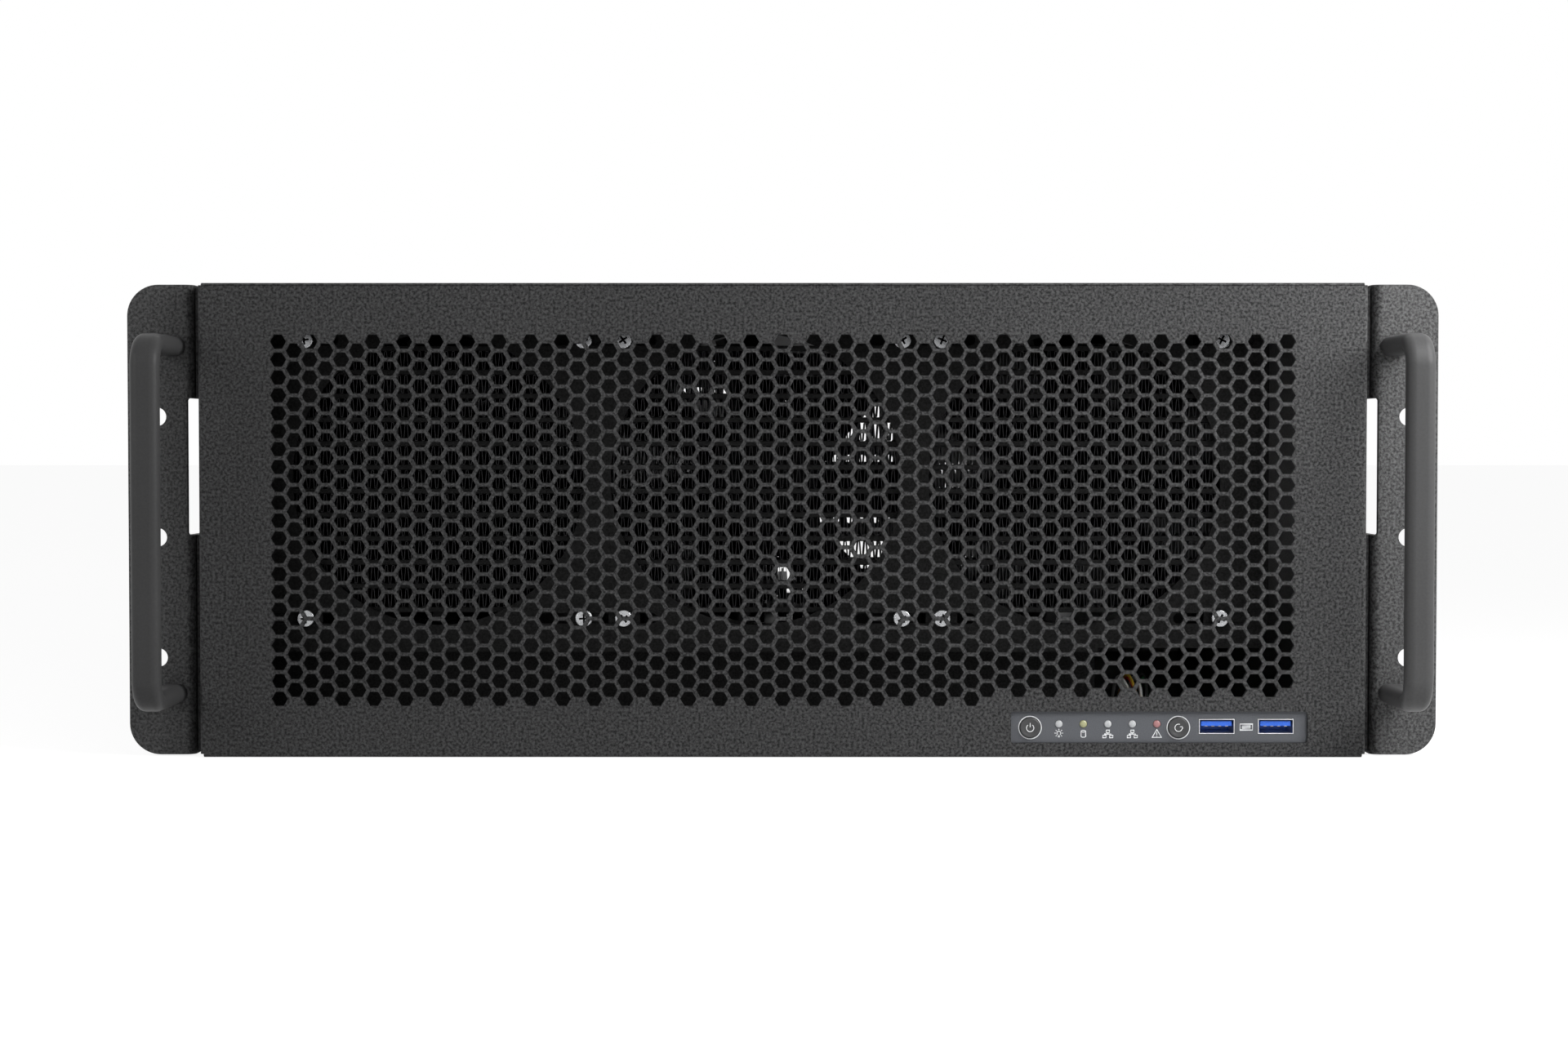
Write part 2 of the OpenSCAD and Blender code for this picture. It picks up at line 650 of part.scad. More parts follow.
// Curved blade, cut from a thin tube that lies across the rotor
module blade() {
  curve = 46;
  intersection() {
    difference() {
      cylinder(r = rotor_d/2, h = hub_end - hub_y, $fn = 96);
      translate([0, 0, -1]) cylinder(r = hub_d/2 - 0.6, h = fan_t + 2, $fn = 64);
    }
    translate([0, 0, (hub_end - hub_y)/2]) rotate([38, 0, 0]) intersection() {
      translate([0, 0, 6 - curve]) rotate([0, 90, 0]) difference() {
        cylinder(r = curve, h = rotor_d, $fn = 96);
        translate([0, 0, -1]) cylinder(r = curve - 1.6, h = rotor_d + 2, $fn = 96);
      }
      translate([0, -17, -6]) cube([rotor_d, 34, 14]);
    }
  }
}
module fan_rotor(i) color("#202124")
  translate([cooler_x + bay_x[i], hub_end, plate_z]) rotate([90, 0, 0]) {
    difference() {
      cylinder(r = hub_d/2, h = hub_end - hub_y, $fn = 64);
      translate([0, 0, -1]) cylinder(r = hub_d/2 - 2.5, h = 6, $fn = 64);
    }
    translate([0, 0, -(fan_back - 1.5 - hub_end)]) cylinder(r = shaft_r, h = fan_back - hub_end + 6, $fn = 48);
    for (k = [0:blade_count - 1]) rotate([0, 0, k*360/blade_count]) blade();
  }
module fan_frame_1() fan_frame(0);
module fan_frame_2() fan_frame(1);
module fan_frame_3() fan_frame(2);
module fan_rotor_1() fan_rotor(0);
module fan_rotor_2() fan_rotor(1);
module fan_rotor_3() fan_rotor(2);

// ---- control plate ----

module io_plate() color("#515357") difference() {
  union() {
    block([io_x - io_w/2 - io_rim, io_face, shelf_z], [io_x + io_w/2 + io_rim, io_back, io_z + io_h/2 + io_rim]);
    block([io_x - io_w/2 - io_rim, io_back, shelf_z], [io_x + io_w/2 + io_rim, pcb_y + pcb_l, shelf_z + shelf_t]);
  }
  for (x = button_x) rod_y(button_d/2 + 0.2, io_face - 1, io_back + 1, x, button_z);
  for (x = lamp_x) rod_y(lamp_d/2 + 0.1, io_face - 1, io_back + 1, x, lamp_z);
  for (x = usb_x) block([x - usb_w/2 - 0.15, io_face - 1, usb_z - usb_h/2 - 0.15],
                        [x + usb_w/2 + 0.15, io_back + 1, usb_z + usb_h/2 + 0.15]);
}

// Circuit board on the shelf, with its spacers, switches and cable headers
module io_board() color("#1f4a33") {
  block([io_x - io_w/2 + 1, pcb_y, pcb_top - pcb_t], [io_x + io_w/2 - 1, pcb_y + pcb_l, pcb_top]);
  for (x = [io_x - io_w/2 + 6, io_x, io_x + io_w/2 - 6])
    rod_z(2, shelf_z + shelf_t, pcb_top - pcb_t, x, pcb_y + pcb_l - 5);
  for (x = button_x)
    block([x - 3, plunger_end + button_travel + 0.1, pcb_top], [x + 3, plunger_end + 8, button_z + 3]);
  block([cable_route[0][0] - 8, pcb_y + pcb_l - 6, pcb_top],
        [cable_route[0][0] + 8, cable_route[0][1], pcb_top + 6]);
}

module io_lamps() color("#c9cbc6") for (x = lamp_x) {
  rod_y(lamp_d/2, io_face - 0.5, pcb_y, x, lamp_z);
  block([x - 1.9, pcb_y, pcb_top], [x + 1.9, pcb_y + 4, lamp_z + 1.9]);
}

module usb_shells() color("#a4a7aa") for (x = usb_x) difference() {
  block([x - usb_w/2, io_face - 0.1, usb_z - usb_h/2], [x + usb_w/2, io_face + usb_l, usb_z + usb_h/2]);
  block([x - usb_w/2 + usb_wall, io_face - 1, usb_z - usb_h/2 + usb_wall],
        [x + usb_w/2 - usb_wall, io_face + usb_l + 1, usb_z + usb_h/2 - usb_wall]);
}

module usb_tongues() color("#2456b8") for (x = usb_x) {
  block([x - usb_w/2 + usb_wall, io_face + usb_l - 2, usb_z - usb_h/2 + usb_wall],
        [x + usb_w/2 - usb_wall, io_face + usb_l, usb_z + usb_h/2 - usb_wall]);
  block([x - 5.6, io_face + 0.8, usb_z + 0.1], [x + 5.6, io_face + usb_l - 2, usb_z + 1.9]);
}

module io_cable() color("#e8e8e4") tube(cable_route, cable_d, 4, 8);

module push_button(x) {
  rod_y(button_d/2, cap_y, cap_end, x, button_z);
  rod_y(button_d/2 + 0.8, io_back + run, io_back + run + 1, x, button_z);
  rod_y(1.5, cap_end, plunger_end, x, button_z);
}
module power_button() color("#2a2b2d") push_button(button_x[0]);
module reset_button() color("#2a2b2d") push_button(button_x[1]);

// ---- mainboard ----

module mainboard() color("#16261f") {
  block([board_x, board_y, board_z], [board_x + board_w, board_y + board_d, board_top]);
  for (x = [board_x + 8, board_x + board_w/2, board_x + board_w - 8],
       y = [board_y + 8, board_y + board_d/2, board_y + board_d - 20])
    rod_z(3, sheet, board_z, x, y);
}

// Sockets, chips and heat sinks that stand on the mainboard
module board_sockets() color("#2e3033") {
  for (x = card_x) difference() {
    block([x - 3.7, card_y + 110, board_top], [x + 3.7, card_y + 199, board_top + socket_h]);
    block([x - card_t/2 - fit, card_y + 112, card_z - 0.5], [x + card_t/2 + fit, card_y + 197, board_top + socket_h + 1]);
  }
  for (x = memory_x) difference() {
    block([x - 3.2, cpu_y - 70, board_top], [x + 3.2, cpu_y + 70, board_top + 8]);
    block([x - 0.9, cpu_y - 67, board_top + 3], [x + 0.9, cpu_y + 67, board_top + 9]);
  }
  block([cpu_x - 34, cpu_y - 39, board_top], [cpu_x + 34, cpu_y + 39, board_top + 7]);
  difference() {
    block([cpu_x - 45, board_y + board_d - 92, board_top], [cpu_x + 45, board_y + board_d - 62, board_top + 26]);
    for (i = [0:9]) block([cpu_x - 42.5 + i*9, board_y + board_d - 93, board_top + 6],
                          [cpu_x - 38.5 + i*9, board_y + board_d - 61, board_top + 27]);
  }
  plug = cable_route[len(cable_route) - 1];
  block([plug[0] - 8, plug[1], board_top], [plug[0] + 8, plug[1] + 8, board_top + 9]);
}

module memory_modules() color("#1d3b2b") for (x = memory_x) {
  block([x - 0.65, cpu_y - 66.6, board_top + 3.3], [x + 0.65, cpu_y + 66.6, board_top + 3.3 + module_h]);
  block([x - 2.4, cpu_y - 64, board_top + 9], [x + 2.4, cpu_y + 64, board_top + 1.5 + module_h]);
}

module cpu_block() color("#8c8f93") {
  slab_z([cpu_x - 38, cpu_y - 38, board_top + 7], [cpu_x + 38, cpu_y + 38, board_top + 19], 5);
  for (y = [-1, 1]) difference() {
    union() {
      rod_z(fitting_r, board_top + 19, board_top + 33, cpu_x, cpu_y + y*19);
      rod_z(fitting_r + 1, board_top + 24, board_top + 31, cpu_x, cpu_y + y*19, 36);
    }
    rod_z(3.5, board_top + 20, board_top + 34, cpu_x, cpu_y + y*19);
  }
  for (x = [-1, 1], y = [-1, 1]) rod_z(3, board_top + 19, board_top + 23, cpu_x + x*32, cpu_y + y*32);
}

// Flat slab with round corners, from a low corner to a high corner
module slab_z(low, high, r)
  translate(low) linear_extrude(high[2] - low[2]) round_rect(high[0] - low[0], high[1] - low[1], r);

// Metal sockets along the board's rear edge, seen through the rear window
module socket_body(x, w, h, d, hole_w, hole_h) difference() {
  block([x, back_y - d, board_top], [x + w, rear_y - 0.2, board_top + h]);
  block([x + (w - hole_w)/2, back_y - d + 3, board_top + (h - hole_h)/2],
        [x + (w + hole_w)/2, rear_y, board_top + (h + hole_h)/2]);
}
module rear_ports() color("#a4a7aa") {
  x0 = cage_left - 161;
  socket_body(x0, 34, 13, 18, 30, 9);
  socket_body(x0 + 40, 16, 28, 22, 13.2, 22);
  socket_body(x0 + 60, 16, 28, 22, 13.2, 22);
  socket_body(x0 + 80, 17, 30, 24, 13, 11);
  socket_body(x0 + 101, 17, 30, 24, 13, 11);
  socket_body(x0 + 123, 15, 16, 22, 13.2, 6);
}

// ---- graphics cards ----

module gpu_card(i) color("#222326") translate([card_x[i], 0, 0]) {
  difference() {
    union() {
      block([-card_t/2, card_y, card_z + 5], [card_t/2, back_y - fit, card_z + card_h]);
      block([-card_t/2, card_y + 113, card_z], [card_t/2, card_y + 196, card_z + 5]);
    }
    for (y = [card_y + 14, back_y - 40], z = [card_z + 16, card_z + card_h - 10]) rod_x(1.6, -3, 3, y, z);
  }
  block([card_t/2, back_y - 18, card_z + 12], [card_t/2 + 7, rear_y - 0.3, card_z + 97]);
  difference() {
    block([-16.5, back_y - 0.9, board_top + 1], [19, back_y, card_z + card_h + 4]);
    block([-card_t/2, back_y - 2, card_z + 5], [card_t/2, back_y + 1, card_z + card_h]);
    block([card_t/2, back_y - 2, card_z + 12], [card_t/2 + 7, back_y + 1, card_z + 97]);
    for (k = [0:7]) slot_y(6, 7, back_y - 2, back_y + 1, -9, card_z + 18 + k*11);
  }
  block([-16.5, back_y - 11, card_z + card_h + 4], [19, back_y, card_z + card_h + 5]);
}

// Cold plate over the whole card, with the terminal for its two fittings
module gpu_block(i) color("#1c2a33") translate([card_x[i], 0, 0]) difference() {
  union() {
    block([card_t/2, card_y + 4, card_z + 8], [card_t/2 + block_t, back_y - 22, card_z + card_h - 3]);
    for (z = [manifold_z, manifold_z + 34])
      rod_y(6, manifold_y + 18, card_y + 4, card_t/2 + block_t/2, z);
  }
  for (y = [card_y + 14, back_y - 40], z = [card_z + 16, card_z + card_h - 10])
    rod_x(1.6, 0, block_t + 3, y, z);
  block([card_t/2 + block_t - 2, card_y + 24, card_z + 30], [card_t/2 + block_t + 1, card_y + 190, card_z + card_h - 24]);
}
module gpu_card_1() gpu_card(0);
module gpu_card_2() gpu_card(1);
module gpu_card_3() gpu_card(2);
module gpu_card_4() gpu_card(3);
module gpu_block_1() gpu_block(0);
module gpu_block_2() gpu_block(1);
module gpu_block_3() gpu_block(2);
module gpu_block_4() gpu_block(3);

// ---- coolant loop ----

// Bar that feeds the cards, with its feet and hose fittings
module coolant_manifold() color("#2a2b2e") {
  x0 = card_x[0] - 6;
  x1 = card_x[card_count - 1] + 22;
  difference() {
    slab_y([x0, manifold_y, manifold_z - 12], [x1, manifold_y + 18, manifold_z + 46], 4);
    for (z = [manifold_z, manifold_z + 34]) rod_x(5, x0 - 1, x1 - 8, manifold_y + 9, z);
  }
  for (z = [manifold_z, manifold_z + 34]) rod_x(7.5, x0 - 4, x0, manifold_y + 9, z);
  for (x = [x0 + 10, x1 - 20])
    block([x, manifold_y + 3, board_top], [x + 10, manifold_y + 15, manifold_z - 12]);
  for (x = [card_x[1], card_x[3]])
    rod_y(fitting_r, manifold_y - 12, manifold_y, x, x < card_x[2] ? manifold_z : manifold_z + 34);
}

// Clear tube with its two end caps and the filler plug
module reservoir() color("#b8c4c8") {
  difference() {
    rod_z(reservoir_d/2, reservoir_z, reservoir_z + reservoir_h, pump_x, pump_y, 96);
    rod_z(reservoir_d/2 - 3, reservoir_z + 0.5, reservoir_z + reservoir_h - 0.5, pump_x, pump_y, 96);
  }
  lid_z = reservoir_z + reservoir_h;
  rod_z(pump_w/2, lid_z, lid_z + lid_h, pump_x, pump_y, 96);
  rod_z(9, lid_z + lid_h, lid_z + lid_h + plug_h, pump_x, pump_y, 36);
}

module pump() color("#1b1b1d") {
  slab_z([pump_x - pump_w/2, pump_y - pump_w/2, sheet], [pump_x + pump_w/2, pump_y + pump_w/2, sheet + pump_h], 5);
  slab_z([pump_x - pump_w/2, pump_y - pump_w/2, sheet + pump_h],
         [pump_x + pump_w/2, pump_y + pump_w/2, reservoir_z], 5);
  rod_y(fitting_r, pump_y - pump_w/2 - 12, pump_y - pump_w/2, port_x, port_z[0]);
  rod_y(fitting_r, pump_y + pump_w/2, pump_y + pump_w/2 + 12, pump_x, sheet + pump_h/2);
}

module hoses() color("#101113") {
  top_z = port_z[1];
  tube([[port_x, radiator_back + 14, port_z[0]], [port_x, pump_y - pump_w/2 - 12, port_z[0]]], hose_d, 4);
  tube([[pump_x, pump_y + pump_w/2 + 12, sheet + pump_h/2], [pump_x, pump_y + pump_w/2 + 34, sheet + pump_h/2],
        [pump_x + 12, pump_y + pump_w/2 + 56, sheet + pump_h/2 + 4],
        [(pump_x + card_x[1])/2, manifold_y - 62, manifold_z - 6],
        [card_x[1], manifold_y - 34, manifold_z], [card_x[1], manifold_y - 12, manifold_z]], hose_d, 5);
  tube([[card_x[3], manifold_y - 12, manifold_z + 34], [card_x[3], manifold_y - 34, manifold_z + 34],
        [card_x[3] + 28, manifold_y - 60, manifold_z + 38], [cpu_x - 24, manifold_y - 42, board_top + 80],
        [cpu_x - 2, cpu_y - 66, board_top + 82], [cpu_x, cpu_y - 30, board_top + 70],
        [cpu_x, cpu_y - 19, board_top + 50], [cpu_x, cpu_y - 19, board_top + 33]], hose_d, 4);
  tube([[cpu_x, cpu_y + 19, board_top + 33], [cpu_x, cpu_y + 19, board_top + 52],
        [cpu_x + 8, cpu_y + 2, board_top + 92], [cpu_x + 14, cpu_y - 60, board_top + 112],
        [cpu_x - 16, manifold_y - 70, top_z - 8], [-40, fan_back + 116, top_z],
        [port_x + 84, fan_back + 66, top_z], [port_x + 34, fan_back + 56, top_z],
        [port_x + 4, fan_back + 28, top_z], [port_x, fan_back - 2, top_z],
        [port_x, radiator_back + 14, top_z]], hose_d, 4);
}

// ---- power supplies ----

module psu_cage() color("#5c5e61") {
  z1 = psu_z[psu_count - 1] + psu_h + run;
  block([cage_left, cage_front, sheet], [cage_left + cage_t, back_y, z1 + cage_t]);
  block([cage_right - cage_t, cage_front, sheet], [cage_right, back_y, z1 + cage_t]);
  for (z = concat([sheet], [for (low = psu_z) low + psu_h + run]))
    block([cage_left + cage_t, cage_front + 8, z], [cage_right - cage_t, back_y, z + cage_t]);
  block([cage_left + cage_t, cage_front, sheet], [cage_right - cage_t, cage_front + 1.6, z1 + cage_t]);
}

module psu(i) color("#6e7073") translate([psu_x, 0, psu_z[i]]) difference() {
  union() {
    block([0, psu_front, 0], [psu_w, psu_back, psu_h]);
    block([10, psu_front - 5.6, 8], [psu_w - 10, psu_front, 14]);
    difference() {
      slab_x([psu_w/2 + 4, psu_back - 1, 5], [psu_w/2 + 8, rear_y + psu_reach, psu_h - 5], 3.5);
      slab_x([psu_w/2, psu_back - 10, 9], [psu_w/2 + 12, rear_y + psu_reach - 4, psu_h - 9], 3);
    }
  }
  block([4, psu_back - 18, 8], [4 + 20, psu_back + 1, 8 + 24]);
  block([lever_x - 3, lever_y - 5, psu_h/2 - 8], [lever_x + 2.6, psu_back + 1, psu_h/2 + 8]);
  for (k = [0:6])
    block([psu_w/2 + 10.5, psu_back - 2, 6 + k*4.2], [lever_x - 4, psu_back + 1, 8 + k*4.2]);
}

// Upright slab across X with round corners
module slab_x(low, high, r)
  translate(low) rotate([90, 0, 90]) linear_extrude(high[0] - low[0])
    round_rect(high[1] - low[1], high[2] - low[2], r);

// Lever pin and the three contacts of the inlet
module psu_metal(i) translate([psu_x, 0, psu_z[i]]) {
  rod_z(pin_r, psu_h/2 - 8, psu_h/2 + 8, lever_x, lever_y);
  for (p = [[9, 25], [9, 13], [17, 19]])
    block([p[0] - 1, psu_back - 18, p[1] - 2], [p[0] + 1, psu_back - 4, p[1] + 2]);
}
module psu_with_pin(i) {
  psu(i);
  color("#9a9c9f") psu_metal(i);
}
module psu_latch(i) color("#3f8a4c") translate([psu_x, 0, psu_z[i]]) difference() {
  union() {
    rod_z(2.2, psu_h/2 - 7, psu_h/2 + 7, lever_x, lever_y);
    block([lever_x - 1, lever_y, psu_h/2 - 7], [lever_x + 1, rear_y + psu_reach - 5, psu_h/2 + 7]);
  }
  rod_z(pin_r + shaft_gap, psu_h/2 - 9, psu_h/2 + 9, lever_x, lever_y);
}
module psu_1() psu_with_pin(0);
module psu_2() psu_with_pin(1);
module psu_3() psu_with_pin(2);
module psu_4() psu_with_pin(3);
module psu_latch_1() psu_latch(0);
module psu_latch_2() psu_latch(1);
module psu_latch_3() psu_latch(2);
module psu_latch_4() psu_latch(3);

// ---- cover ----

cover_screw_y = [plate_back + 30, (plate_back + back_y)/2, back_y - 30];
module top_cover() color("#2b2c2e") difference() {
  block([-half_w, cover_y, under_cover], [half_w, rear_y, chassis_h]);
  for (s = [-1, 1], y = cover_screw_y) rod_z(2, under_cover - 1, chassis_h + 1, s*(inner_x - flange_w/2), y);
}
module cover_screws() color("#8d8f92") for (s = [-1, 1], y = cover_screw_y)
  rod_z(1.95, under_cover, chassis_h, s*(inner_x - flange_w/2), y);

base_tray();
side_wall_left();
side_wall_right();
rear_panel();
front_brace();
front_panel();
ear_left();
ear_right();
ear_screws();
handle_left();
handle_right();
handle_screws();
radiator_plate();
radiator_tanks();
radiator_tubes();
radiator_fins();
radiator_fittings();
radiator_screws();
fan_frame_1();
fan_frame_2();
fan_frame_3();
fan_rotor_1();
fan_rotor_2();
fan_rotor_3();
io_plate();
io_board();
io_lamps();
usb_shells();
usb_tongues();
io_cable();
power_button();
reset_button();
mainboard();
board_sockets();
cpu_block();
memory_modules();
rear_ports();
gpu_card_1();
gpu_card_2();
gpu_card_3();
gpu_card_4();
gpu_block_1();
gpu_block_2();
gpu_block_3();
gpu_block_4();
coolant_manifold();
reservoir();
pump();
hoses();
psu_cage();
psu_1();
psu_2();
psu_3();
psu_4();
psu_latch_1();
psu_latch_2();
psu_latch_3();
psu_latch_4();
top_cover();
cover_screws();
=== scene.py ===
import json
import math

import bmesh
import bpy
from mathutils import Matrix, Vector


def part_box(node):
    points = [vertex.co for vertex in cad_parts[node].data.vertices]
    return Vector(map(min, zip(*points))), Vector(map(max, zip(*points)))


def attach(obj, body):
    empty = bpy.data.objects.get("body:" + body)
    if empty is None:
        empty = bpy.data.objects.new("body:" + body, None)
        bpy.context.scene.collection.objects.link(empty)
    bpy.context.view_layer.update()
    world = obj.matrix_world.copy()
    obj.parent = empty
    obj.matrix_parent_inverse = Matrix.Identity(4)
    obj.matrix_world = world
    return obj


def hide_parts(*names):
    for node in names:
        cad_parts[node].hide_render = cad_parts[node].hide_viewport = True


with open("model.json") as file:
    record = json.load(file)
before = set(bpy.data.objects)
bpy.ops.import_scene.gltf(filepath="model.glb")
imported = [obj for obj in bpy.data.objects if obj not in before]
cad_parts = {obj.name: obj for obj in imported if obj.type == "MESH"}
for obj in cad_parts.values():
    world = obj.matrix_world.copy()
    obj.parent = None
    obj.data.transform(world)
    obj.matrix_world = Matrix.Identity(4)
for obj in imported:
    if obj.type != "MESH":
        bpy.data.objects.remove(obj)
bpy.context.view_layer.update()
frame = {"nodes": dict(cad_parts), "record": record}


# ---- Room ----
# The server stands on a pale floor in a white surround, seen straight from the front and a
# little from above. A small lamp hangs close by on the right, above the panel's upper corner,
# and two weaker ones stand in front and on the left.

mm = 0.001
scene = bpy.context.scene
scene.view_settings.view_transform = "Standard"
chassis_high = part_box("side_wall_right")[1]
ear_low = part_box("ear_right")[0]
middle = Vector((0, ear_low.y, chassis_high.z/2 + 0.6*mm))


def put(tree, kind, inputs=(), **settings):
    """Adds a node, sets its properties, and fills its inputs with values or linked outputs."""
    node = tree.nodes.new(kind)
    for key, value in settings.items():
        setattr(node, key, value)
    for key, value in dict(inputs).items():
        if isinstance(value, bpy.types.NodeSocket):
            tree.links.new(value, node.inputs[key])
        else:
            node.inputs[key].default_value = value
    return node


def seen_directly(tree):
    """1 for rays that come from the eye, off a gloss or through a glass, and 0 for light."""
    path = put(tree, "ShaderNodeLightPath")
    either = put(tree, "ShaderNodeMath", {0: path.outputs["Is Camera Ray"],
                                          1: path.outputs["Is Glossy Ray"]}, operation="MAXIMUM")
    return put(tree, "ShaderNodeMath", {0: either.outputs[0], 1: path.outputs["Is Transmission Ray"]},
               operation="MAXIMUM").outputs[0]


camera = bpy.data.cameras.new("front_camera")
camera.sensor_width = 36
camera.lens = 62.28
camera.clip_start = 0.05
camera_object = bpy.data.objects.new("front_camera", camera)
camera_object.location = middle + Vector((1.8*mm, -1.0, 29.0*mm))
camera_object.rotation_euler = (math.radians(90 - 1.711), 0, 0.0013)
scene.collection.objects.link(camera_object)
scene.camera = camera_object

world = bpy.data.worlds.new("white_surround")
scene.world = world
world.use_nodes = True
world.node_tree.nodes.clear()
soft_light = put(world.node_tree, "ShaderNodeBackground", {"Color": (1, 1, 1, 1), "Strength": 0.24})
white = put(world.node_tree, "ShaderNodeBackground", {"Color": (1, 1, 1, 1), "Strength": 1.0})
surround = put(world.node_tree, "ShaderNodeMixShader", {0: seen_directly(world.node_tree),
                                                        1: soft_light.outputs[0], 2: white.outputs[0]})
put(world.node_tree, "ShaderNodeOutputWorld", {"Surface": surround.outputs[0]})

lit_point = Vector((0.05, -0.33, 0.1))
for name, place, size, watts in (("lamp_right", (0.40, -0.52, 0.33), 0.3, 3.6),
                                 ("lamp_front", (0.1, -1.7, 1.1), 1.0, 1.5),
                                 ("lamp_left", (-0.8, -0.85, 0.35), 0.5, 2.2)):
    lamp = bpy.data.lights.new(name, "AREA")
    lamp.size = size
    lamp.energy = watts
    lamp_object = bpy.data.objects.new(name, lamp)
    lamp_object.location = place
    towards = lit_point - Vector(place)
    lamp_object.rotation_euler = towards.to_track_quat("-Z", "Y").to_euler()
    lamp_object.visible_camera = False
    scene.collection.objects.link(lamp_object)

floor_mesh = bpy.data.meshes.new("floor")
reach = 12.0
floor_mesh.from_pydata([(x*reach, y*reach, -0.2*mm) for x, y in ((-1, -1), (1, -1), (1, 1), (-1, 1))],
                       [], [(0, 1, 2, 3)])
floor = bpy.data.objects.new("floor", floor_mesh)
scene.collection.objects.link(floor)
floor_paint = bpy.data.materials.new("floor_paint")
floor_paint.use_nodes = True
tree = floor_paint.node_tree
tree.nodes.clear()
glow = put(tree, "ShaderNodeEmission", {"Color": (1, 1, 1, 1), "Strength": 0.86})
shade = put(tree, "ShaderNodeBsdfDiffuse", {"Color": (0.4, 0.4, 0.4, 1)})
pale = put(tree, "ShaderNodeAddShader", {0: glow.outputs[0], 1: shade.outputs[0]})
bounce = put(tree, "ShaderNodeBsdfDiffuse", {"Color": (0.75, 0.75, 0.75, 1)})
top = put(tree, "ShaderNodeMixShader", {0: seen_directly(tree), 1: bounce.outputs[0], 2: pale.outputs[0]})
put(tree, "ShaderNodeOutputMaterial", {"Surface": top.outputs[0]})
floor_mesh.materials.append(floor_paint)


# ---- Chassis sheet metal ----
# Tray, two side walls, rear panel and front brace, folded from 1.2 mm steel and riveted
# together. All of it is powder coated black, with a fine dry grain.

body_of = {node: body for body, names in frame["record"]["behaviour"]["bodies"].items() for node in names}


def ramp(tree, factor, stops):
    """A colour ramp from (place, colour) pairs, driven by a factor."""
    node = put(tree, "ShaderNodeValToRGB", {"Fac": factor})
    keys = node.color_ramp.elements
    while len(keys) < len(stops):
        keys.new(0.5)
    for key, (place, colour) in zip(keys, stops):
        key.position = place
        key.color = (*colour, 1)
    return node.outputs["Color"]


def scaled(colour, factor):
    return tuple(min(1.0, channel*factor) for channel in colour)


def coated(name, colour, grain=1.0, roughness=0.5, specular=0.12, bump=0.6, contrast=0.12):
    """Grainy coat: a fine speckle in tone and relief, grain in millimetres, over slow clouds."""
    material = bpy.data.materials.new(name)
    material.use_nodes = True
    tree = material.node_tree
    tree.nodes.clear()
    place = put(tree, "ShaderNodeTexCoord").outputs["Object"]
    grains = put(tree, "ShaderNodeTexNoise", {"Vector": place, "Scale": 1/(grain*mm), "Detail": 2.0,
                                              "Roughness": 0.6}).outputs[0]
    clouds = put(tree, "ShaderNodeTexNoise", {"Vector": place, "Scale": 14.0, "Detail": 3.0}).outputs[0]
    speckle = ramp(tree, grains, [(0.36, scaled(colour, 1 - contrast)), (0.64, scaled(colour, 1 + contrast))])
    drift = ramp(tree, clouds, [(0.3, (0.93,)*3), (0.7, (1.07,)*3)])
    tone = put(tree, "ShaderNodeMixRGB", {"Fac": 1.0, "Color1": speckle, "Color2": drift},
               blend_type="MULTIPLY")
    relief = put(tree, "ShaderNodeBump", {"Strength": bump, "Distance": 0.12*mm, "Height": grains})
    surface = put(tree, "ShaderNodeBsdfPrincipled", {
        "Base Color": tone.outputs[0], "Roughness": roughness, "Specular IOR Level": specular,
        "Normal": relief.outputs[0]})
    put(tree, "ShaderNodeOutputMaterial", {"Surface": surface.outputs[0]})
    return material


def linked(name, mesh, material):
    """An object for a finished mesh, in one material."""
    mesh.materials.clear()
    mesh.materials.append(material)
    piece = bpy.data.objects.new(name, mesh)
    scene.collection.objects.link(piece)
    return piece


def baked(piece):
    """Turns a piece with its modifiers into a plain mesh."""
    bpy.context.view_layer.update()
    finished = piece.evaluated_get(bpy.context.evaluated_depsgraph_get())
    mesh = bpy.data.meshes.new_from_object(finished)
    piece.modifiers.clear()
    piece.data = mesh
    return piece


def finish_node(node, material, edge=0.25, angle=32):
    """A welded copy of a frame piece, its edges broken by so many millimetres, that stands for it."""
    mesh = frame["nodes"][node].data.copy()
    work = bmesh.new()
    work.from_mesh(mesh)
    bmesh.ops.remove_doubles(work, verts=work.verts, dist=2e-6)
    bmesh.ops.dissolve_limit(work, angle_limit=math.radians(0.5), verts=work.verts, edges=work.edges)
    work.to_mesh(mesh)
    work.free()
    mesh.shade_smooth()
    mesh.set_sharp_from_angle(angle=math.radians(angle))
    piece = linked(node + "_finished", mesh, material)
    if edge:
        rounding = piece.modifiers.new("broken_edges", "BEVEL")
        rounding.width = edge*mm
        rounding.segments = 2
        rounding.limit_method = "ANGLE"
        rounding.angle_limit = math.radians(40)
        rounding.harden_normals = False
    shading = piece.modifiers.new("flat_faces", "WEIGHTED_NORMAL")
    shading.keep_sharp = True
    baked(piece)
    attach(piece, body_of[node])
    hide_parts(node)
    return piece


chassis_black = coated("chassis_black", (0.034, 0.034, 0.0345), contrast=0.6)
for node in ("base_tray", "side_wall_left", "side_wall_right", "rear_panel", "front_brace"):
    finish_node(node, chassis_black)


# ---- Rack ears ----
# Two 3 mm steel angles, folded with a wide radius and screwed to the side walls. They carry
# the slots for the rack's screws and are coated like the front panel.

# The ear coat is the panel's coat made lighter: painted light, for the brighter light the ears catch beside the
# panel.
ear_coat_with_painted_light = coated("ear_coat_with_painted_light", (0.058, 0.058, 0.0585), contrast=0.6)
for node in ("ear_left", "ear_right"):
    finish_node(node, ear_coat_with_painted_light, edge=0.6)


# ---- Handles ----
# Two bent oval rods with a smooth satin coat, each held by two screws from behind the ear.

satin = coated("handle_satin", (0.05, 0.05, 0.0505), grain=0.9, roughness=0.42, bump=0.04, contrast=0.05)
for node in ("handle_left", "handle_right"):
    finish_node(node, satin, edge=0)


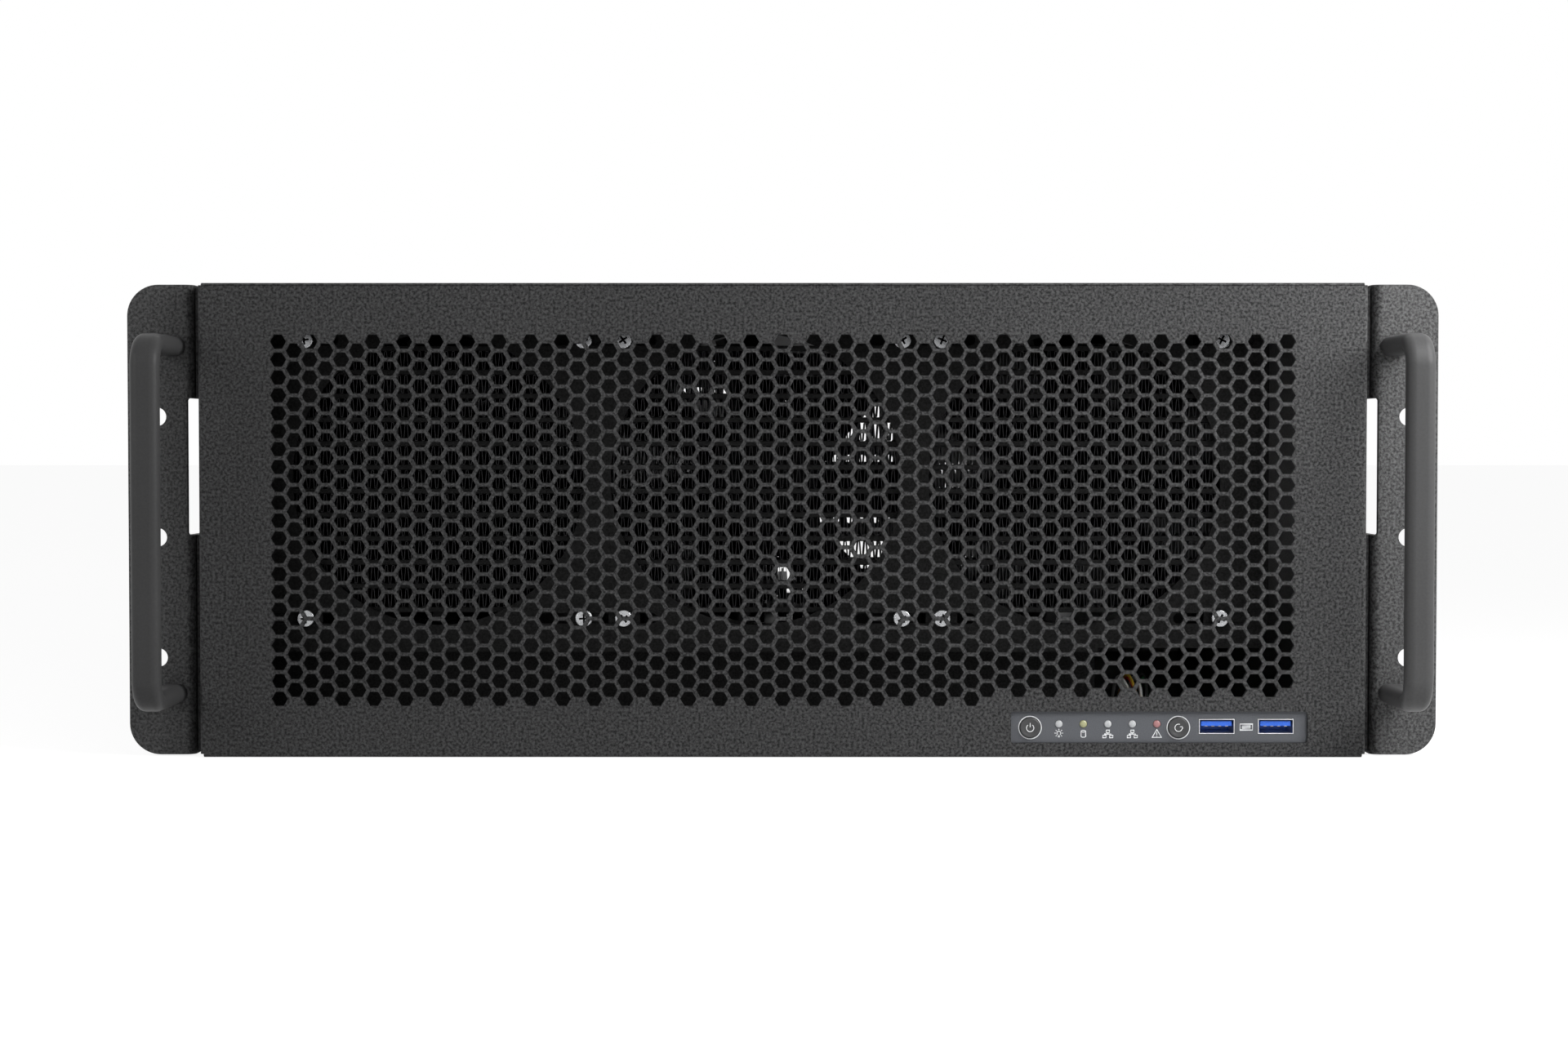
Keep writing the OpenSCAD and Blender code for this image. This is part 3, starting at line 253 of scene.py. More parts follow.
# ---- Front panel ----
# A sheet steel pan with four folded edges, open at its corners. Its field of hexagonal holes
# is punched, so each hole has a rounded lip on the face, which catches the light.

panel_low, panel_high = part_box("front_panel")
plate_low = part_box("io_plate")[0]
panel_sheet = 1.2*mm
panel_fold = 1.25*mm
column_step, row_step = 5.77*mm, 6.55*mm
io_window = (108.8*mm, 11.5*mm, (138.2*mm, 11.1*mm))


def tree_with(name, sizes):
    """A new node tree with named number inputs, a material input and a mesh output."""
    tree = bpy.data.node_groups.new(name, "GeometryNodeTree")
    for label, value in sizes.items():
        whole = isinstance(value, int)
        socket = tree.interface.new_socket(label, in_out="INPUT",
                                           socket_type="NodeSocketInt" if whole else "NodeSocketFloat")
        socket.default_value = value
    tree.interface.new_socket("Material", in_out="INPUT", socket_type="NodeSocketMaterial")
    tree.interface.new_socket("Geometry", in_out="OUTPUT", socket_type="NodeSocketGeometry")
    start = tree.nodes.new("NodeGroupInput")
    return tree, start.outputs


def closed_tree(tree, given, geometry):
    """Ends a tree in Realize Instances, a weld and Set Material."""
    real = put(tree, "GeometryNodeRealizeInstances", {"Geometry": geometry})
    weld = put(tree, "GeometryNodeMergeByDistance", {"Geometry": real.outputs[0], "Distance": 0.004*mm})
    dressed = put(tree, "GeometryNodeSetMaterial", {"Geometry": weld.outputs[0], "Material": given["Material"]})
    put(tree, "NodeGroupOutput", {"Geometry": dressed.outputs[0]})


def grown(name, tree, material, **sizes):
    """Runs a node tree with its sizes set by socket identifier, and keeps the plain mesh."""
    piece = bpy.data.objects.new(name, bpy.data.meshes.new(name))
    scene.collection.objects.link(piece)
    steps = piece.modifiers.new("steps", "NODES")
    steps.node_group = tree
    for item in tree.interface.items_tree:
        if item.in_out == "INPUT" and item.name in sizes:
            steps[item.identifier] = sizes[item.name]
        if item.in_out == "INPUT" and item.name == "Material":
            steps[item.identifier] = material
    return baked(piece)


def reckon(tree, operation, first, second=0.0):
    return put(tree, "ShaderNodeMath", {0: first, 1: second}, operation=operation).outputs[0]


def placed(tree, x=0.0, y=0.0, z=0.0):
    return put(tree, "ShaderNodeCombineXYZ", {"X": x, "Y": y, "Z": z}).outputs[0]


def moved(tree, geometry, x=0.0, y=0.0, z=0.0):
    return put(tree, "GeometryNodeTransform", {"Geometry": geometry,
                                               "Translation": placed(tree, x, y, z)}).outputs[0]


tree, given = tree_with("punched_face", {
    "Width": 0.4, "Height": 0.17, "Thickness": 0.001, "Columns": 33, "Rows": 21, "Column Step": 0.00577,
    "Row Step": 0.00655, "Hole Radius": 0.0029, "Lip": 0.0003, "Low Edge": 0.0, "Low Edge Start": 0.06,
    "Window Width": 0.1, "Window Height": 0.01, "Window X": 0.1, "Window Z": -0.07})


def hole_places(fewer):
    """Points of every second column of holes, without those above the control plate."""
    columns = reckon(tree, "SUBTRACT", given["Columns"], fewer)
    rows = reckon(tree, "SUBTRACT", given["Rows"], fewer)
    wide = reckon(tree, "MULTIPLY", reckon(tree, "SUBTRACT", columns, 1.0),
                  reckon(tree, "MULTIPLY", given["Column Step"], 2.0))
    high = reckon(tree, "MULTIPLY", reckon(tree, "SUBTRACT", rows, 1.0), given["Row Step"])
    grid = put(tree, "GeometryNodeMeshGrid", {"Size X": wide, "Size Y": high,
                                              "Vertices X": columns, "Vertices Y": rows}).outputs[0]
    spot = put(tree, "ShaderNodeSeparateXYZ", {0: put(tree, "GeometryNodeInputPosition").outputs[0]})
    right = reckon(tree, "GREATER_THAN", spot.outputs["X"], given["Low Edge Start"])
    low = reckon(tree, "LESS_THAN", spot.outputs["Y"], given["Low Edge"])
    both = reckon(tree, "MULTIPLY", right, low)
    return put(tree, "GeometryNodeDeleteGeometry", {"Geometry": grid, "Selection": both},
               domain="POINT", mode="ALL").outputs[0]


places = put(tree, "GeometryNodeJoinGeometry")
tree.links.new(hole_places(0.0), places.inputs[0])
tree.links.new(hole_places(1.0), places.inputs[0])
lip_radius = reckon(tree, "ADD", given["Hole Radius"], reckon(tree, "MULTIPLY", given["Lip"], 1.155))
window = put(tree, "GeometryNodeCurvePrimitiveQuadrilateral", {"Width": given["Window Width"],
                                                               "Height": given["Window Height"]})
window = put(tree, "GeometryNodeFilletCurve", {"Curve": window.outputs[0], "Radius": 1.0*mm, "Count": 4},
             mode="POLY").outputs[0]
window = moved(tree, window, given["Window X"], given["Window Z"])
edge = put(tree, "GeometryNodeCurvePrimitiveQuadrilateral", {"Width": given["Width"],
                                                             "Height": given["Height"]}).outputs[0]


def holed_sheet(radius):
    """A flat sheet with the window and a hexagonal hole at each place."""
    hole = put(tree, "GeometryNodeCurvePrimitiveCircle", {"Resolution": 6, "Radius": radius}).outputs[0]
    holes = put(tree, "GeometryNodeInstanceOnPoints", {"Points": places.outputs[0],
                                                       "Instance": hole}).outputs[0]
    outline = put(tree, "GeometryNodeJoinGeometry")
    for part in (edge, window, holes):
        tree.links.new(part, outline.inputs[0])
    real = put(tree, "GeometryNodeRealizeInstances", {"Geometry": outline.outputs[0]})
    return put(tree, "GeometryNodeFillCurve", {"Curve": real.outputs[0]}, mode="TRIANGLES").outputs[0]


front = holed_sheet(lip_radius)
back = moved(tree, holed_sheet(given["Hole Radius"]), z=reckon(tree, "MULTIPLY", given["Thickness"], -1.0))
back = put(tree, "GeometryNodeFlipFaces", {"Mesh": back}).outputs[0]
ring = put(tree, "GeometryNodeMeshCircle", {"Vertices": 6, "Radius": lip_radius}).outputs[0]
lip = put(tree, "GeometryNodeExtrudeMesh", {"Mesh": ring, "Offset": (0, 0, -1), "Offset Scale": given["Lip"]},
          mode="EDGES")
spot = put(tree, "ShaderNodeSeparateXYZ", {0: put(tree, "GeometryNodeInputPosition").outputs[0]})
closer = reckon(tree, "DIVIDE", given["Hole Radius"], lip_radius)
inward = placed(tree, reckon(tree, "MULTIPLY", spot.outputs["X"], closer),
                reckon(tree, "MULTIPLY", spot.outputs["Y"], closer), spot.outputs["Z"])
lip_in = put(tree, "GeometryNodeSetPosition", {
    "Geometry": lip.outputs["Mesh"], "Selection": lip.outputs["Top"], "Position": inward}).outputs[0]
wall = put(tree, "GeometryNodeExtrudeMesh", {
    "Mesh": lip_in, "Selection": lip.outputs["Top"], "Offset": (0, 0, -1),
    "Offset Scale": reckon(tree, "SUBTRACT", given["Thickness"], given["Lip"])}, mode="EDGES").outputs["Mesh"]
walls = put(tree, "GeometryNodeInstanceOnPoints", {"Points": places.outputs[0], "Instance": wall}).outputs[0]
sheets = put(tree, "GeometryNodeJoinGeometry")
for part in (front, back, walls):
    tree.links.new(part, sheets.inputs[0])
upright = put(tree, "GeometryNodeTransform", {"Geometry": sheets.outputs[0],
                                              "Rotation": (math.radians(90), 0, 0)}).outputs[0]
closed_tree(tree, given, upright)

panel_coat = coated("panel_coat", (0.04, 0.04, 0.0406), contrast=0.7)
panel_centre = (panel_low + panel_high)/2
face = grown("panel_face", tree, panel_coat, **{
    "Width": panel_high.x - panel_low.x - 2*panel_fold, "Height": panel_high.z - panel_low.z - 2*panel_fold,
    "Thickness": panel_sheet, "Columns": 33, "Rows": 21, "Column Step": column_step, "Row Step": row_step,
    "Hole Radius": 5.0*mm/math.sqrt(3), "Lip": 0.27*mm, "Low Edge": -9.6*row_step,
    "Low Edge Start": 13*column_step,
    "Window Width": io_window[0], "Window Height": io_window[1], "Window X": io_window[2][0],
    "Window Z": io_window[2][1] - panel_centre.z})
face.data.transform(Matrix.Translation((0, panel_low.y, panel_centre.z)))

rim = bmesh.new()


def fold_strip(across, start, end, seam=0.0):
    """One folded edge: a quarter bend and its flange, drawn as a closed section along the fold.

    A seam of some depth is a fine groove where the bend begins.
    """
    outer = [(0, 0)]
    first_turn = 15
    if seam:
        outer += [(0.05*mm, 0), (0.05*mm, seam), (0.4*mm, seam), (0.4*mm, 0.03*mm)]
        first_turn = 45
    outer += [(panel_fold*math.sin(a), panel_fold*(1 - math.cos(a)))
              for a in (math.radians(turn) for turn in range(first_turn, 91, 15))]
    depth = panel_high.y - panel_low.y
    inner_bend = panel_fold - panel_sheet
    inner = [(inner_bend*math.sin(a), panel_fold - inner_bend*math.cos(a))
             for a in (math.radians(30*k) for k in range(3, -1, -1))]
    section = outer + [(panel_fold, depth)] + [(panel_fold - panel_sheet, depth)] + inner
    ends = [[rim.verts.new(across(a, b, t)) for a, b in section] for t in (start, end)]
    count = len(section)
    for k in range(count):
        rim.faces.new((ends[0][k], ends[0][(k + 1) % count], ends[1][(k + 1) % count], ends[1][k]))
    rim.faces.new(ends[0][::-1])
    rim.faces.new(ends[1])


x_edge, z_top, z_foot = panel_high.x - panel_fold, panel_high.z - panel_fold, panel_low.z + panel_fold
for side in (-1, 1):
    fold_strip(lambda a, b, t, s=side: (s*(x_edge + a), panel_low.y + b, t), z_foot, z_top)
fold_strip(lambda a, b, t: (t, panel_low.y + b, z_top + a), -x_edge, x_edge, 0.35*mm)
fold_strip(lambda a, b, t: (t, panel_low.y + b, z_foot - a), -x_edge, x_edge)
bmesh.ops.recalc_face_normals(rim, faces=rim.faces)
rim.normal_update()
whole = bmesh.new()
whole.from_mesh(face.data)
strips = bpy.data.meshes.new("strips")
rim.to_mesh(strips)
rim.free()
whole.from_mesh(strips)
whole.to_mesh(face.data)
whole.free()
face.data.shade_smooth()
face.data.set_sharp_from_angle(angle=math.radians(28))
face.name = "front_panel_punched"
face.data.materials.clear()
face.data.materials.append(panel_coat)
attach(face, "chassis")
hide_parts("front_panel")


# ---- Control plate ----
# A smooth slate plate 1.2 mm behind the panel's window, with two push buttons in white rings,
# five lamps over their white printed signs, and two USB sockets on a small board.

print_y = plate_low.y
plate_mid_x, plate_mid_z = io_window[2]
button_x = {"power_button": plate_mid_x - 47.3*mm, "reset_button": plate_mid_x + 7.2*mm}
button_z = plate_mid_z - 0.2*mm
lamp_pitch = 9
lamp_x = [plate_mid_x + (-36.7 + lamp_pitch*k)*mm for k in range(5)]
lamp_z = plate_mid_z + 1.1*mm
sign_z = plate_mid_z - 2.5*mm
usb_x = [plate_mid_x + 21.3*mm, plate_mid_x + 43*mm]
slate = coated("slate", (0.1, 0.104, 0.114), grain=0.4, roughness=0.5, bump=0.05, contrast=0.06)
finish_node("io_plate", slate, edge=0.15)
ink = coated("white_ink", (0.75, 0.76, 0.77), grain=0.3, roughness=0.6, bump=0.05, contrast=0.04)


def stroke(work, points, width, y, closed=False):
    """A raised flat line along points (x, z), so wide, with its face at depth y."""
    count = len(points)
    sides = []
    for k, (x, z) in enumerate(points):
        before = points[k - 1] if k or closed else points[k]
        after = points[(k + 1) % count] if k < count - 1 or closed else points[k]
        heading = Vector((after[0] - before[0], after[1] - before[1])).normalized()
        across = Vector((-heading.y, heading.x))*width/2
        if 0 < k < count - 1 or closed:
            leg = Vector((x - before[0], z - before[1])).normalized()
            across /= max(0.5, abs(across.normalized().dot(Vector((-leg.y, leg.x)))))
        sides.append([work.verts.new((x + s*across.x, depth, z + s*across.y))
                      for depth in (y, y + 0.06*mm) for s in (1, -1)])
    for k in range(count if closed else count - 1):
        one, two = sides[k], sides[(k + 1) % count]
        for i, j in ((0, 1), (1, 3), (3, 2), (2, 0)):
            work.faces.new((one[i], one[j], two[j], two[i]))
    if not closed:
        for end in (sides[0], sides[-1]):
            work.faces.new((end[0], end[1], end[3], end[2]))


def arc(x, z, radius, start=0.0, end=360.0, count=28):
    angles = [math.radians(start + (end - start)*k/count) for k in range(count + (end - start < 360))]
    return [(x + radius*math.cos(a), z + radius*math.sin(a)) for a in angles]


def drawn(name, work, material, body):
    """Keeps a drawing as a piece of its own."""
    bmesh.ops.recalc_face_normals(work, faces=work.faces)
    mesh = bpy.data.meshes.new(name)
    work.to_mesh(mesh)
    work.free()
    piece = linked(name, mesh, material)
    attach(piece, body)
    return piece


signs = bmesh.new()
face_y = print_y - 0.05*mm
thin = 0.26*mm


def sign(x, shapes, closed=True):
    for points in shapes:
        stroke(signs, [(x + a*mm, sign_z + b*mm) for a, b in points], thin, face_y, closed)


for x in button_x.values():
    stroke(signs, arc(x, button_z, 4.15*mm, count=48), 0.35*mm, face_y, True)
sign(lamp_x[0], [arc(0, 0.25, 0.72, -50, 230, 14)], False)
sign(lamp_x[0], [[(-0.4, -0.75), (0.4, -0.75)], [(-0.3, -1.15), (0.3, -1.15)]], False)
sign(lamp_x[0], [[(1.15*math.cos(a), 0.25 + 1.15*math.sin(a)), (1.6*math.cos(a), 0.25 + 1.6*math.sin(a))]
                 for a in (math.radians(45*k) for k in range(-1, 6))], False)
sign(lamp_x[1], [[(-0.85, 0.95), (-0.85, -1.0), (-0.45, -1.25), (0.45, -1.25), (0.85, -1.0),
                  (0.85, 0.95)]], False)
sign(lamp_x[1], [[(0.85*math.cos(a), 0.95 + 0.33*math.sin(a))
                  for a in (math.radians(30*k) for k in range(12))]])
for x in lamp_x[2:4]:
    sign(x, [[(a - 0.6, b - 0.45), (a + 0.6, b - 0.45), (a + 0.6, b + 0.45), (a - 0.6, b + 0.45)]
             for a, b in ((0, 0.9), (-1.25, -1.0), (1.25, -1.0))])
    sign(x, [[(0, 0.45), (0, -0.1)], [(-1.25, -0.55), (-1.25, -0.1), (1.25, -0.1), (1.25, -0.55)]], False)
sign(lamp_x[4], [[(-1.7, -1.3), (1.7, -1.3), (0, 1.6)]])
sign(lamp_x[4], [[(0, 0.6), (0, -0.45)], [(0, -0.75), (0, -1.0)]], False)
middle_x = (usb_x[0] + usb_x[1])/2
for half, high in ((2.3, 1.1), (1.5, 0.35)):
    stroke(signs, [(middle_x + a*half*mm, plate_mid_z + b*high*mm)
                   for a, b in ((-1, -1), (1, -1), (1, 1), (-1, 1))], thin, face_y, True)
drawn("control_signs", signs, ink, "chassis")


def lathe(work, profile, x, z, sides=32):
    """Spins (radius, y) points round an axis along Y; a first or last radius of 0 closes the pole."""
    rings = []
    for radius, y in profile:
        turns = 1 if radius == 0 else sides
        rings.append([work.verts.new((x + radius*math.cos(math.tau*k/sides), y,
                                      z + radius*math.sin(math.tau*k/sides))) for k in range(turns)])
    for low, high in zip(rings, rings[1:]):
        for k in range(sides):
            loop = [low[k % len(low)], low[(k + 1) % len(low)], high[(k + 1) % len(high)], high[k % len(high)]]
            work.faces.new(list(dict.fromkeys(loop)))


cap_coat = coated("button_satin", (0.022, 0.022, 0.023), grain=0.5, roughness=0.3, specular=0.6, bump=0.03)
for node, x in button_x.items():
    low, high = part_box(node)
    cap = bmesh.new()
    lathe(cap, [(0, low.y + 0.55*mm), (1.6*mm, low.y + 0.48*mm), (2.7*mm, low.y + 0.26*mm), (3.2*mm, low.y),
                (3.5*mm, low.y), (3.72*mm, low.y + 0.25*mm), (3.75*mm, low.y + 2.4*mm),
                (3.75*mm, low.y + 3.2*mm), (1.5*mm, low.y + 3.2*mm), (1.5*mm, high.y), (0, high.y)],
          x, button_z, 48)
    piece = drawn(node + "_cap", cap, cap_coat, node)
    piece.data.shade_smooth()
    piece.data.set_sharp_from_angle(angle=math.radians(50))
    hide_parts(node)
    mark = bmesh.new()
    mark_y = low.y + 0.2*mm
    if node == "power_button":
        stroke(mark, arc(x, button_z - 0.1*mm, 1.35*mm, 125, 415, 24), thin, mark_y)
        stroke(mark, [(x, button_z + 0.2*mm), (x, button_z + 1.75*mm)], thin, mark_y)
    else:
        stroke(mark, arc(x, button_z, 1.35*mm, 70, 380, 24), thin, mark_y)
        tip = Vector((x + 1.35*mm*math.cos(math.radians(20)), button_z + 1.35*mm*math.sin(math.radians(20))))
        stroke(mark, [(tip.x - 0.75*mm, tip.y - 0.15*mm), (tip.x, tip.y), (tip.x + 0.35*mm, tip.y - 0.7*mm)],
               thin, mark_y)
    drawn(node + "_mark", mark, ink, node)


def lens(name, colour):
    """A cloudy moulded lens with a glossy skin."""
    return coated(name, colour, grain=0.8, roughness=0.25, specular=0.6, bump=0.02, contrast=0.06)


lamp_low, lamp_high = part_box("io_lamps")
lamp_colours = {"clear_lens": (0.42, 0.43, 0.44), "amber_lens": (0.32, 0.32, 0.17),
                "red_lens": (0.33, 0.15, 0.15)}
lamp_order = ("clear_lens", "amber_lens", "clear_lens", "clear_lens", "red_lens")
for k, (x, tint) in enumerate(zip(lamp_x, lamp_order)):
    dome = bmesh.new()
    lathe(dome, [(0, lamp_low.y)] + [(1.35*mm*math.sin(a), lamp_low.y + 0.5*mm*(1 - math.cos(a)))
                                     for a in (math.radians(15*j) for j in range(1, 7))]
          + [(1.35*mm, lamp_high.y - 4*mm), (0, lamp_high.y - 4*mm)], x, lamp_z, 24)
    piece = drawn(f"lamp_{k + 1}", dome, lens(f"{tint}_{k + 1}", lamp_colours[tint]), "chassis")
    piece.data.shade_smooth()
    piece.data.set_sharp_from_angle(angle=math.radians(50))
    if k == 0:
        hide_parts("io_lamps")


def metal(name, colour, roughness=0.35, streak=(1.0, 1.0, 1.0), contrast=0.12):
    """Bare or plated metal: streaks along one direction change its tone and its gloss a little."""
    material = bpy.data.materials.new(name)
    material.use_nodes = True
    tree = material.node_tree
    tree.nodes.clear()
    place = put(tree, "ShaderNodeTexCoord").outputs["Object"]
    stretched = put(tree, "ShaderNodeMapping", {"Vector": place, "Scale": streak}).outputs[0]
    grain = put(tree, "ShaderNodeTexNoise", {"Vector": stretched, "Scale": 900.0, "Detail": 3.0}).outputs[0]
    tone = ramp(tree, grain, [(0.3, scaled(colour, 1 - contrast)), (0.7, scaled(colour, 1 + contrast))])
    gloss = put(tree, "ShaderNodeMapRange", {0: grain, 3: roughness*0.85, 4: roughness*1.2}).outputs[0]
    surface = put(tree, "ShaderNodeBsdfPrincipled", {"Base Color": tone, "Roughness": gloss, "Metallic": 1.0})
    put(tree, "ShaderNodeOutputMaterial", {"Surface": surface.outputs[0]})
    return material


tin = metal("tinned_steel", (0.62, 0.62, 0.63), 0.3, (1, 6, 1))
finish_node("usb_shells", tin, edge=0.08)
blue = coated("usb_blue", (0.02, 0.13, 0.68), grain=0.5, roughness=0.35, specular=0.5, bump=0.03, contrast=0.08)
finish_node("usb_tongues", blue, edge=0.1)
gold = metal("gold_contacts", (0.75, 0.6, 0.3), 0.3)
contacts = bmesh.new()
for x in usb_x:
    for k in range(4):
        bmesh.ops.create_cube(contacts, size=1.0, matrix=Matrix.Translation(
            (x + (k - 1.5)*2.5*mm, print_y + 5*mm, plate_mid_z + 0.24*mm)) @ Matrix.Diagonal(
                (1.0*mm, 8*mm, 0.12*mm, 1)))
drawn("usb_contacts", contacts, gold, "chassis")


def circuit(name, mask, copper):
    """Solder mask over copper tracks: fine straight runs show as slightly paler lines."""
    material = bpy.data.materials.new(name)
    material.use_nodes = True
    tree = material.node_tree
    tree.nodes.clear()
    place = put(tree, "ShaderNodeTexCoord").outputs["Object"]
    cells = put(tree, "ShaderNodeTexVoronoi", {"Vector": place, "Scale": 260.0}, feature="F1",
                distance="CHEBYCHEV").outputs[0]
    runs = put(tree, "ShaderNodeTexBrick", {"Vector": place, "Scale": 120.0, "Mortar Size": 0.06,
                                            "Color1": (0, 0, 0, 1), "Color2": (0, 0, 0, 1),
                                            "Mortar": (1, 1, 1, 1)}).outputs["Color"]
    tracks = put(tree, "ShaderNodeMixRGB", {"Fac": runs, "Color1": (*mask, 1),
                                            "Color2": (*copper, 1)}).outputs[0]
    pads = ramp(tree, cells, [(0.0, (1.35,)*3), (0.1, (1.35,)*3), (0.14, (1.0,)*3)])
    tone = put(tree, "ShaderNodeMixRGB", {"Fac": 1.0, "Color1": tracks, "Color2": pads},
               blend_type="MULTIPLY").outputs[0]
    surface = put(tree, "ShaderNodeBsdfPrincipled", {"Base Color": tone, "Roughness": 0.38,
                                                     "Specular IOR Level": 0.5})
    put(tree, "ShaderNodeOutputMaterial", {"Surface": surface.outputs[0]})
    return material


finish_node("io_board", circuit("green_board", (0.008, 0.05, 0.022), (0.02, 0.1, 0.045)), edge=0.1)


# ---- Front panel wiring ----
# Thin coloured leads run from the control board's header, over a small arch, and along the
# tray to the mainboard. They are held at both ends by their plugs and taped flat between.

lead_route = [Vector(p)*mm for p in (
    (136, -301, 12), (136, -295, 12), (136, -288, 21), (134, -281, 26), (132, -272, 17), (131, -262, 7),
    (130, -240, 4.5), (128, -150, 4.5), (126, -60, 4.5), (124, -6, 4.5), (123, 4, 9), (122, 13, 15),
    (122, 22, 15))]
lead_colours = {"white": (0.7, 0.7, 0.68), "red": (0.5, 0.03, 0.02), "yellow": (0.65, 0.42, 0.04),
                "green": (0.03, 0.25, 0.07), "black": (0.02, 0.02, 0.02)}
lead_order = ["white", "red", "white", "green", "white", "yellow", "white", "black"]


def tube_mesh(name, points, radius, sides=8, steps=8):
    """A smooth round tube through given points, closed at both ends."""
    curve = bpy.data.curves.new(name, "CURVE")
    curve.dimensions = "3D"
    curve.bevel_depth = radius
    curve.bevel_resolution = max(1, sides//4)
    curve.resolution_u = steps
    curve.use_fill_caps = True
    spline = curve.splines.new("NURBS")
    spline.points.add(len(points) - 1)
    for node, point in zip(spline.points, points):
        node.co = (*point, 1)
    spline.order_u = 3
    spline.use_endpoint_u = True
    holder = bpy.data.objects.new(name, curve)
    scene.collection.objects.link(holder)
    bpy.context.view_layer.update()
    mesh = bpy.data.meshes.new_from_object(holder.evaluated_get(bpy.context.evaluated_depsgraph_get()))
    bpy.data.objects.remove(holder)
    mesh.name = name
    mesh.shade_smooth()
    return mesh


lead_gap = 1.3
layer_gap = 1.2
lead_spread = [1.0, 1.0, 1.9, 2.6, 2.0, 1.2] + [1.0]*(len(lead_route) - 6)
for number, tint in enumerate(lead_order):
    aside, up = (number % 4 - 1.5)*lead_gap, (number//4)*layer_gap
    points = [p + Vector((aside*wide*mm, 0.25*aside*(wide - 1)*mm*(number % 3),
                          (up + 0.4*(wide - 1)*(number % 2))*mm))
              for p, wide in zip(lead_route, lead_spread)]
    jacket = coated(f"lead_{tint}_{number + 1}", lead_colours[tint], grain=0.5, roughness=0.4, specular=0.4,
                    bump=0.05, contrast=0.08)
    piece = linked(f"lead_{number + 1}_{tint}", tube_mesh(f"lead_{number + 1}", points, 0.55*mm), jacket)
    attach(piece, "chassis")
    if number == 0:
        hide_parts("io_cable")


# ---- Screws ----
# Steel screws: black ones hold the ears, handles and cover, and bright zinc ones hold the
# radiator and show through the mesh as small shining heads; the cross recess in each is a flat near-black mark
# of painted shade.

black_zinc = metal("black_zinc", (0.16, 0.16, 0.165), 0.4)
bright_zinc = metal("bright_zinc", (0.7, 0.71, 0.73), 0.25)
for node in ("ear_screws", "handle_screws", "cover_screws"):
    finish_node(node, black_zinc, edge=0.3)
finish_node("radiator_screws", bright_zinc, edge=0.5)
rad_low, rad_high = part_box("radiator_screws")
# A thin near-black cross laid on each zinc head is painted shade for its recess.
recess_shade = coated("screw_recess", (0.004, 0.004, 0.004), roughness=0.8, bump=0.0)
shade_crosses = bmesh.new()
head_radius = 3.4*mm
bay_pitch = 120*mm
screw_reach = 52.5*mm
for bay in (-1, 0, 1):
    bay_mid = (rad_low.x + rad_high.x)/2 + bay*bay_pitch
    for x in (bay_mid - screw_reach, bay_mid + screw_reach):
        for z in (rad_low.z + head_radius, rad_high.z - head_radius):
            turn = Matrix.Rotation(math.radians(17 + 41*bay + 900*x), 4, "Y")
            for long, short in ((3.6, 0.75), (0.75, 3.6)):
                bmesh.ops.create_cube(shade_crosses, size=1.0, matrix=Matrix.Translation((x, rad_low.y, z)) @ turn
                                      @ Matrix.Diagonal((long*mm, 0.06*mm, short*mm, 1)))
drawn("screw_crosses", shade_crosses, recess_shade, "chassis")


# ---- Radiator ----
# Black plate with three round openings and a stepped skirt. Behind it lies an aluminium
# core: flat tubes between two tanks, and one folded fin strip in every gap.

dark_plate = coated("plate_black", (0.012, 0.012, 0.012), grain=0.8, roughness=0.5, contrast=0.5)
for node in ("radiator_plate", "radiator_tanks", "radiator_tubes"):
    finish_node(node, dark_plate)
acetal = coated("black_acetal", (0.012, 0.012, 0.013), grain=0.7, roughness=0.35, specular=0.5, bump=0.05)
finish_node("radiator_fittings", acetal, edge=0.3)

tree, given = tree_with("fin_strips", {"Length": 0.356, "Depth": 0.024, "Height": 0.007, "Folds": 139,
                                       "Rows": 12, "Row Step": 0.009, "Fin": 0.00014})
points_long = reckon(tree, "ADD", reckon(tree, "MULTIPLY", given["Folds"], 10.0), 1.0)
strip = put(tree, "GeometryNodeMeshGrid", {"Size X": given["Length"], "Size Y": given["Depth"],
                                           "Vertices X": points_long, "Vertices Y": 2}).outputs[0]
spot = put(tree, "ShaderNodeSeparateXYZ", {0: put(tree, "GeometryNodeInputPosition").outputs[0]})
turns = reckon(tree, "MULTIPLY", reckon(tree, "DIVIDE", spot.outputs["X"], given["Length"]), given["Folds"])
wave = reckon(tree, "SINE", reckon(tree, "MULTIPLY", turns, math.tau))
steep = put(tree, "ShaderNodeClamp", {"Value": reckon(tree, "MULTIPLY", wave, 1.9), "Min": -1.0, "Max": 1.0})
soft = reckon(tree, "MULTIPLY", reckon(tree, "ADD", reckon(tree, "MULTIPLY", steep.outputs[0], 0.86),
                                       reckon(tree, "MULTIPLY", wave, 0.14)), 0.5)
swing = reckon(tree, "SUBTRACT", given["Height"], given["Fin"])
lifted = placed(tree, z=reckon(tree, "MULTIPLY", soft, swing))
strip = put(tree, "GeometryNodeSetPosition", {"Geometry": strip, "Offset": lifted}).outputs[0]
rows = put(tree, "GeometryNodeMeshLine", {"Count": given["Rows"],
                                          "Offset": placed(tree, z=given["Row Step"])}).outputs[0]
strips = put(tree, "GeometryNodeInstanceOnPoints", {"Points": rows, "Instance": strip}).outputs[0]
closed_tree(tree, given, strips)
fin_low, fin_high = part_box("radiator_fins")
tube_low, tube_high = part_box("radiator_tubes")
fin_metal = metal("coated_fins", (0.075, 0.075, 0.077), 0.42, (1, 1, 6), 0.35)
tube_step = 9*mm
flat_tube = 2*mm
fold_count = 139
row_count = round((tube_high.z - tube_low.z - flat_tube)/tube_step)
fins = grown("fin_strips", tree, fin_metal, **{
    "Length": fin_high.x - fin_low.x, "Depth": fin_high.y - fin_low.y, "Height": tube_step - flat_tube,
    "Folds": fold_count, "Rows": row_count, "Row Step": tube_step})
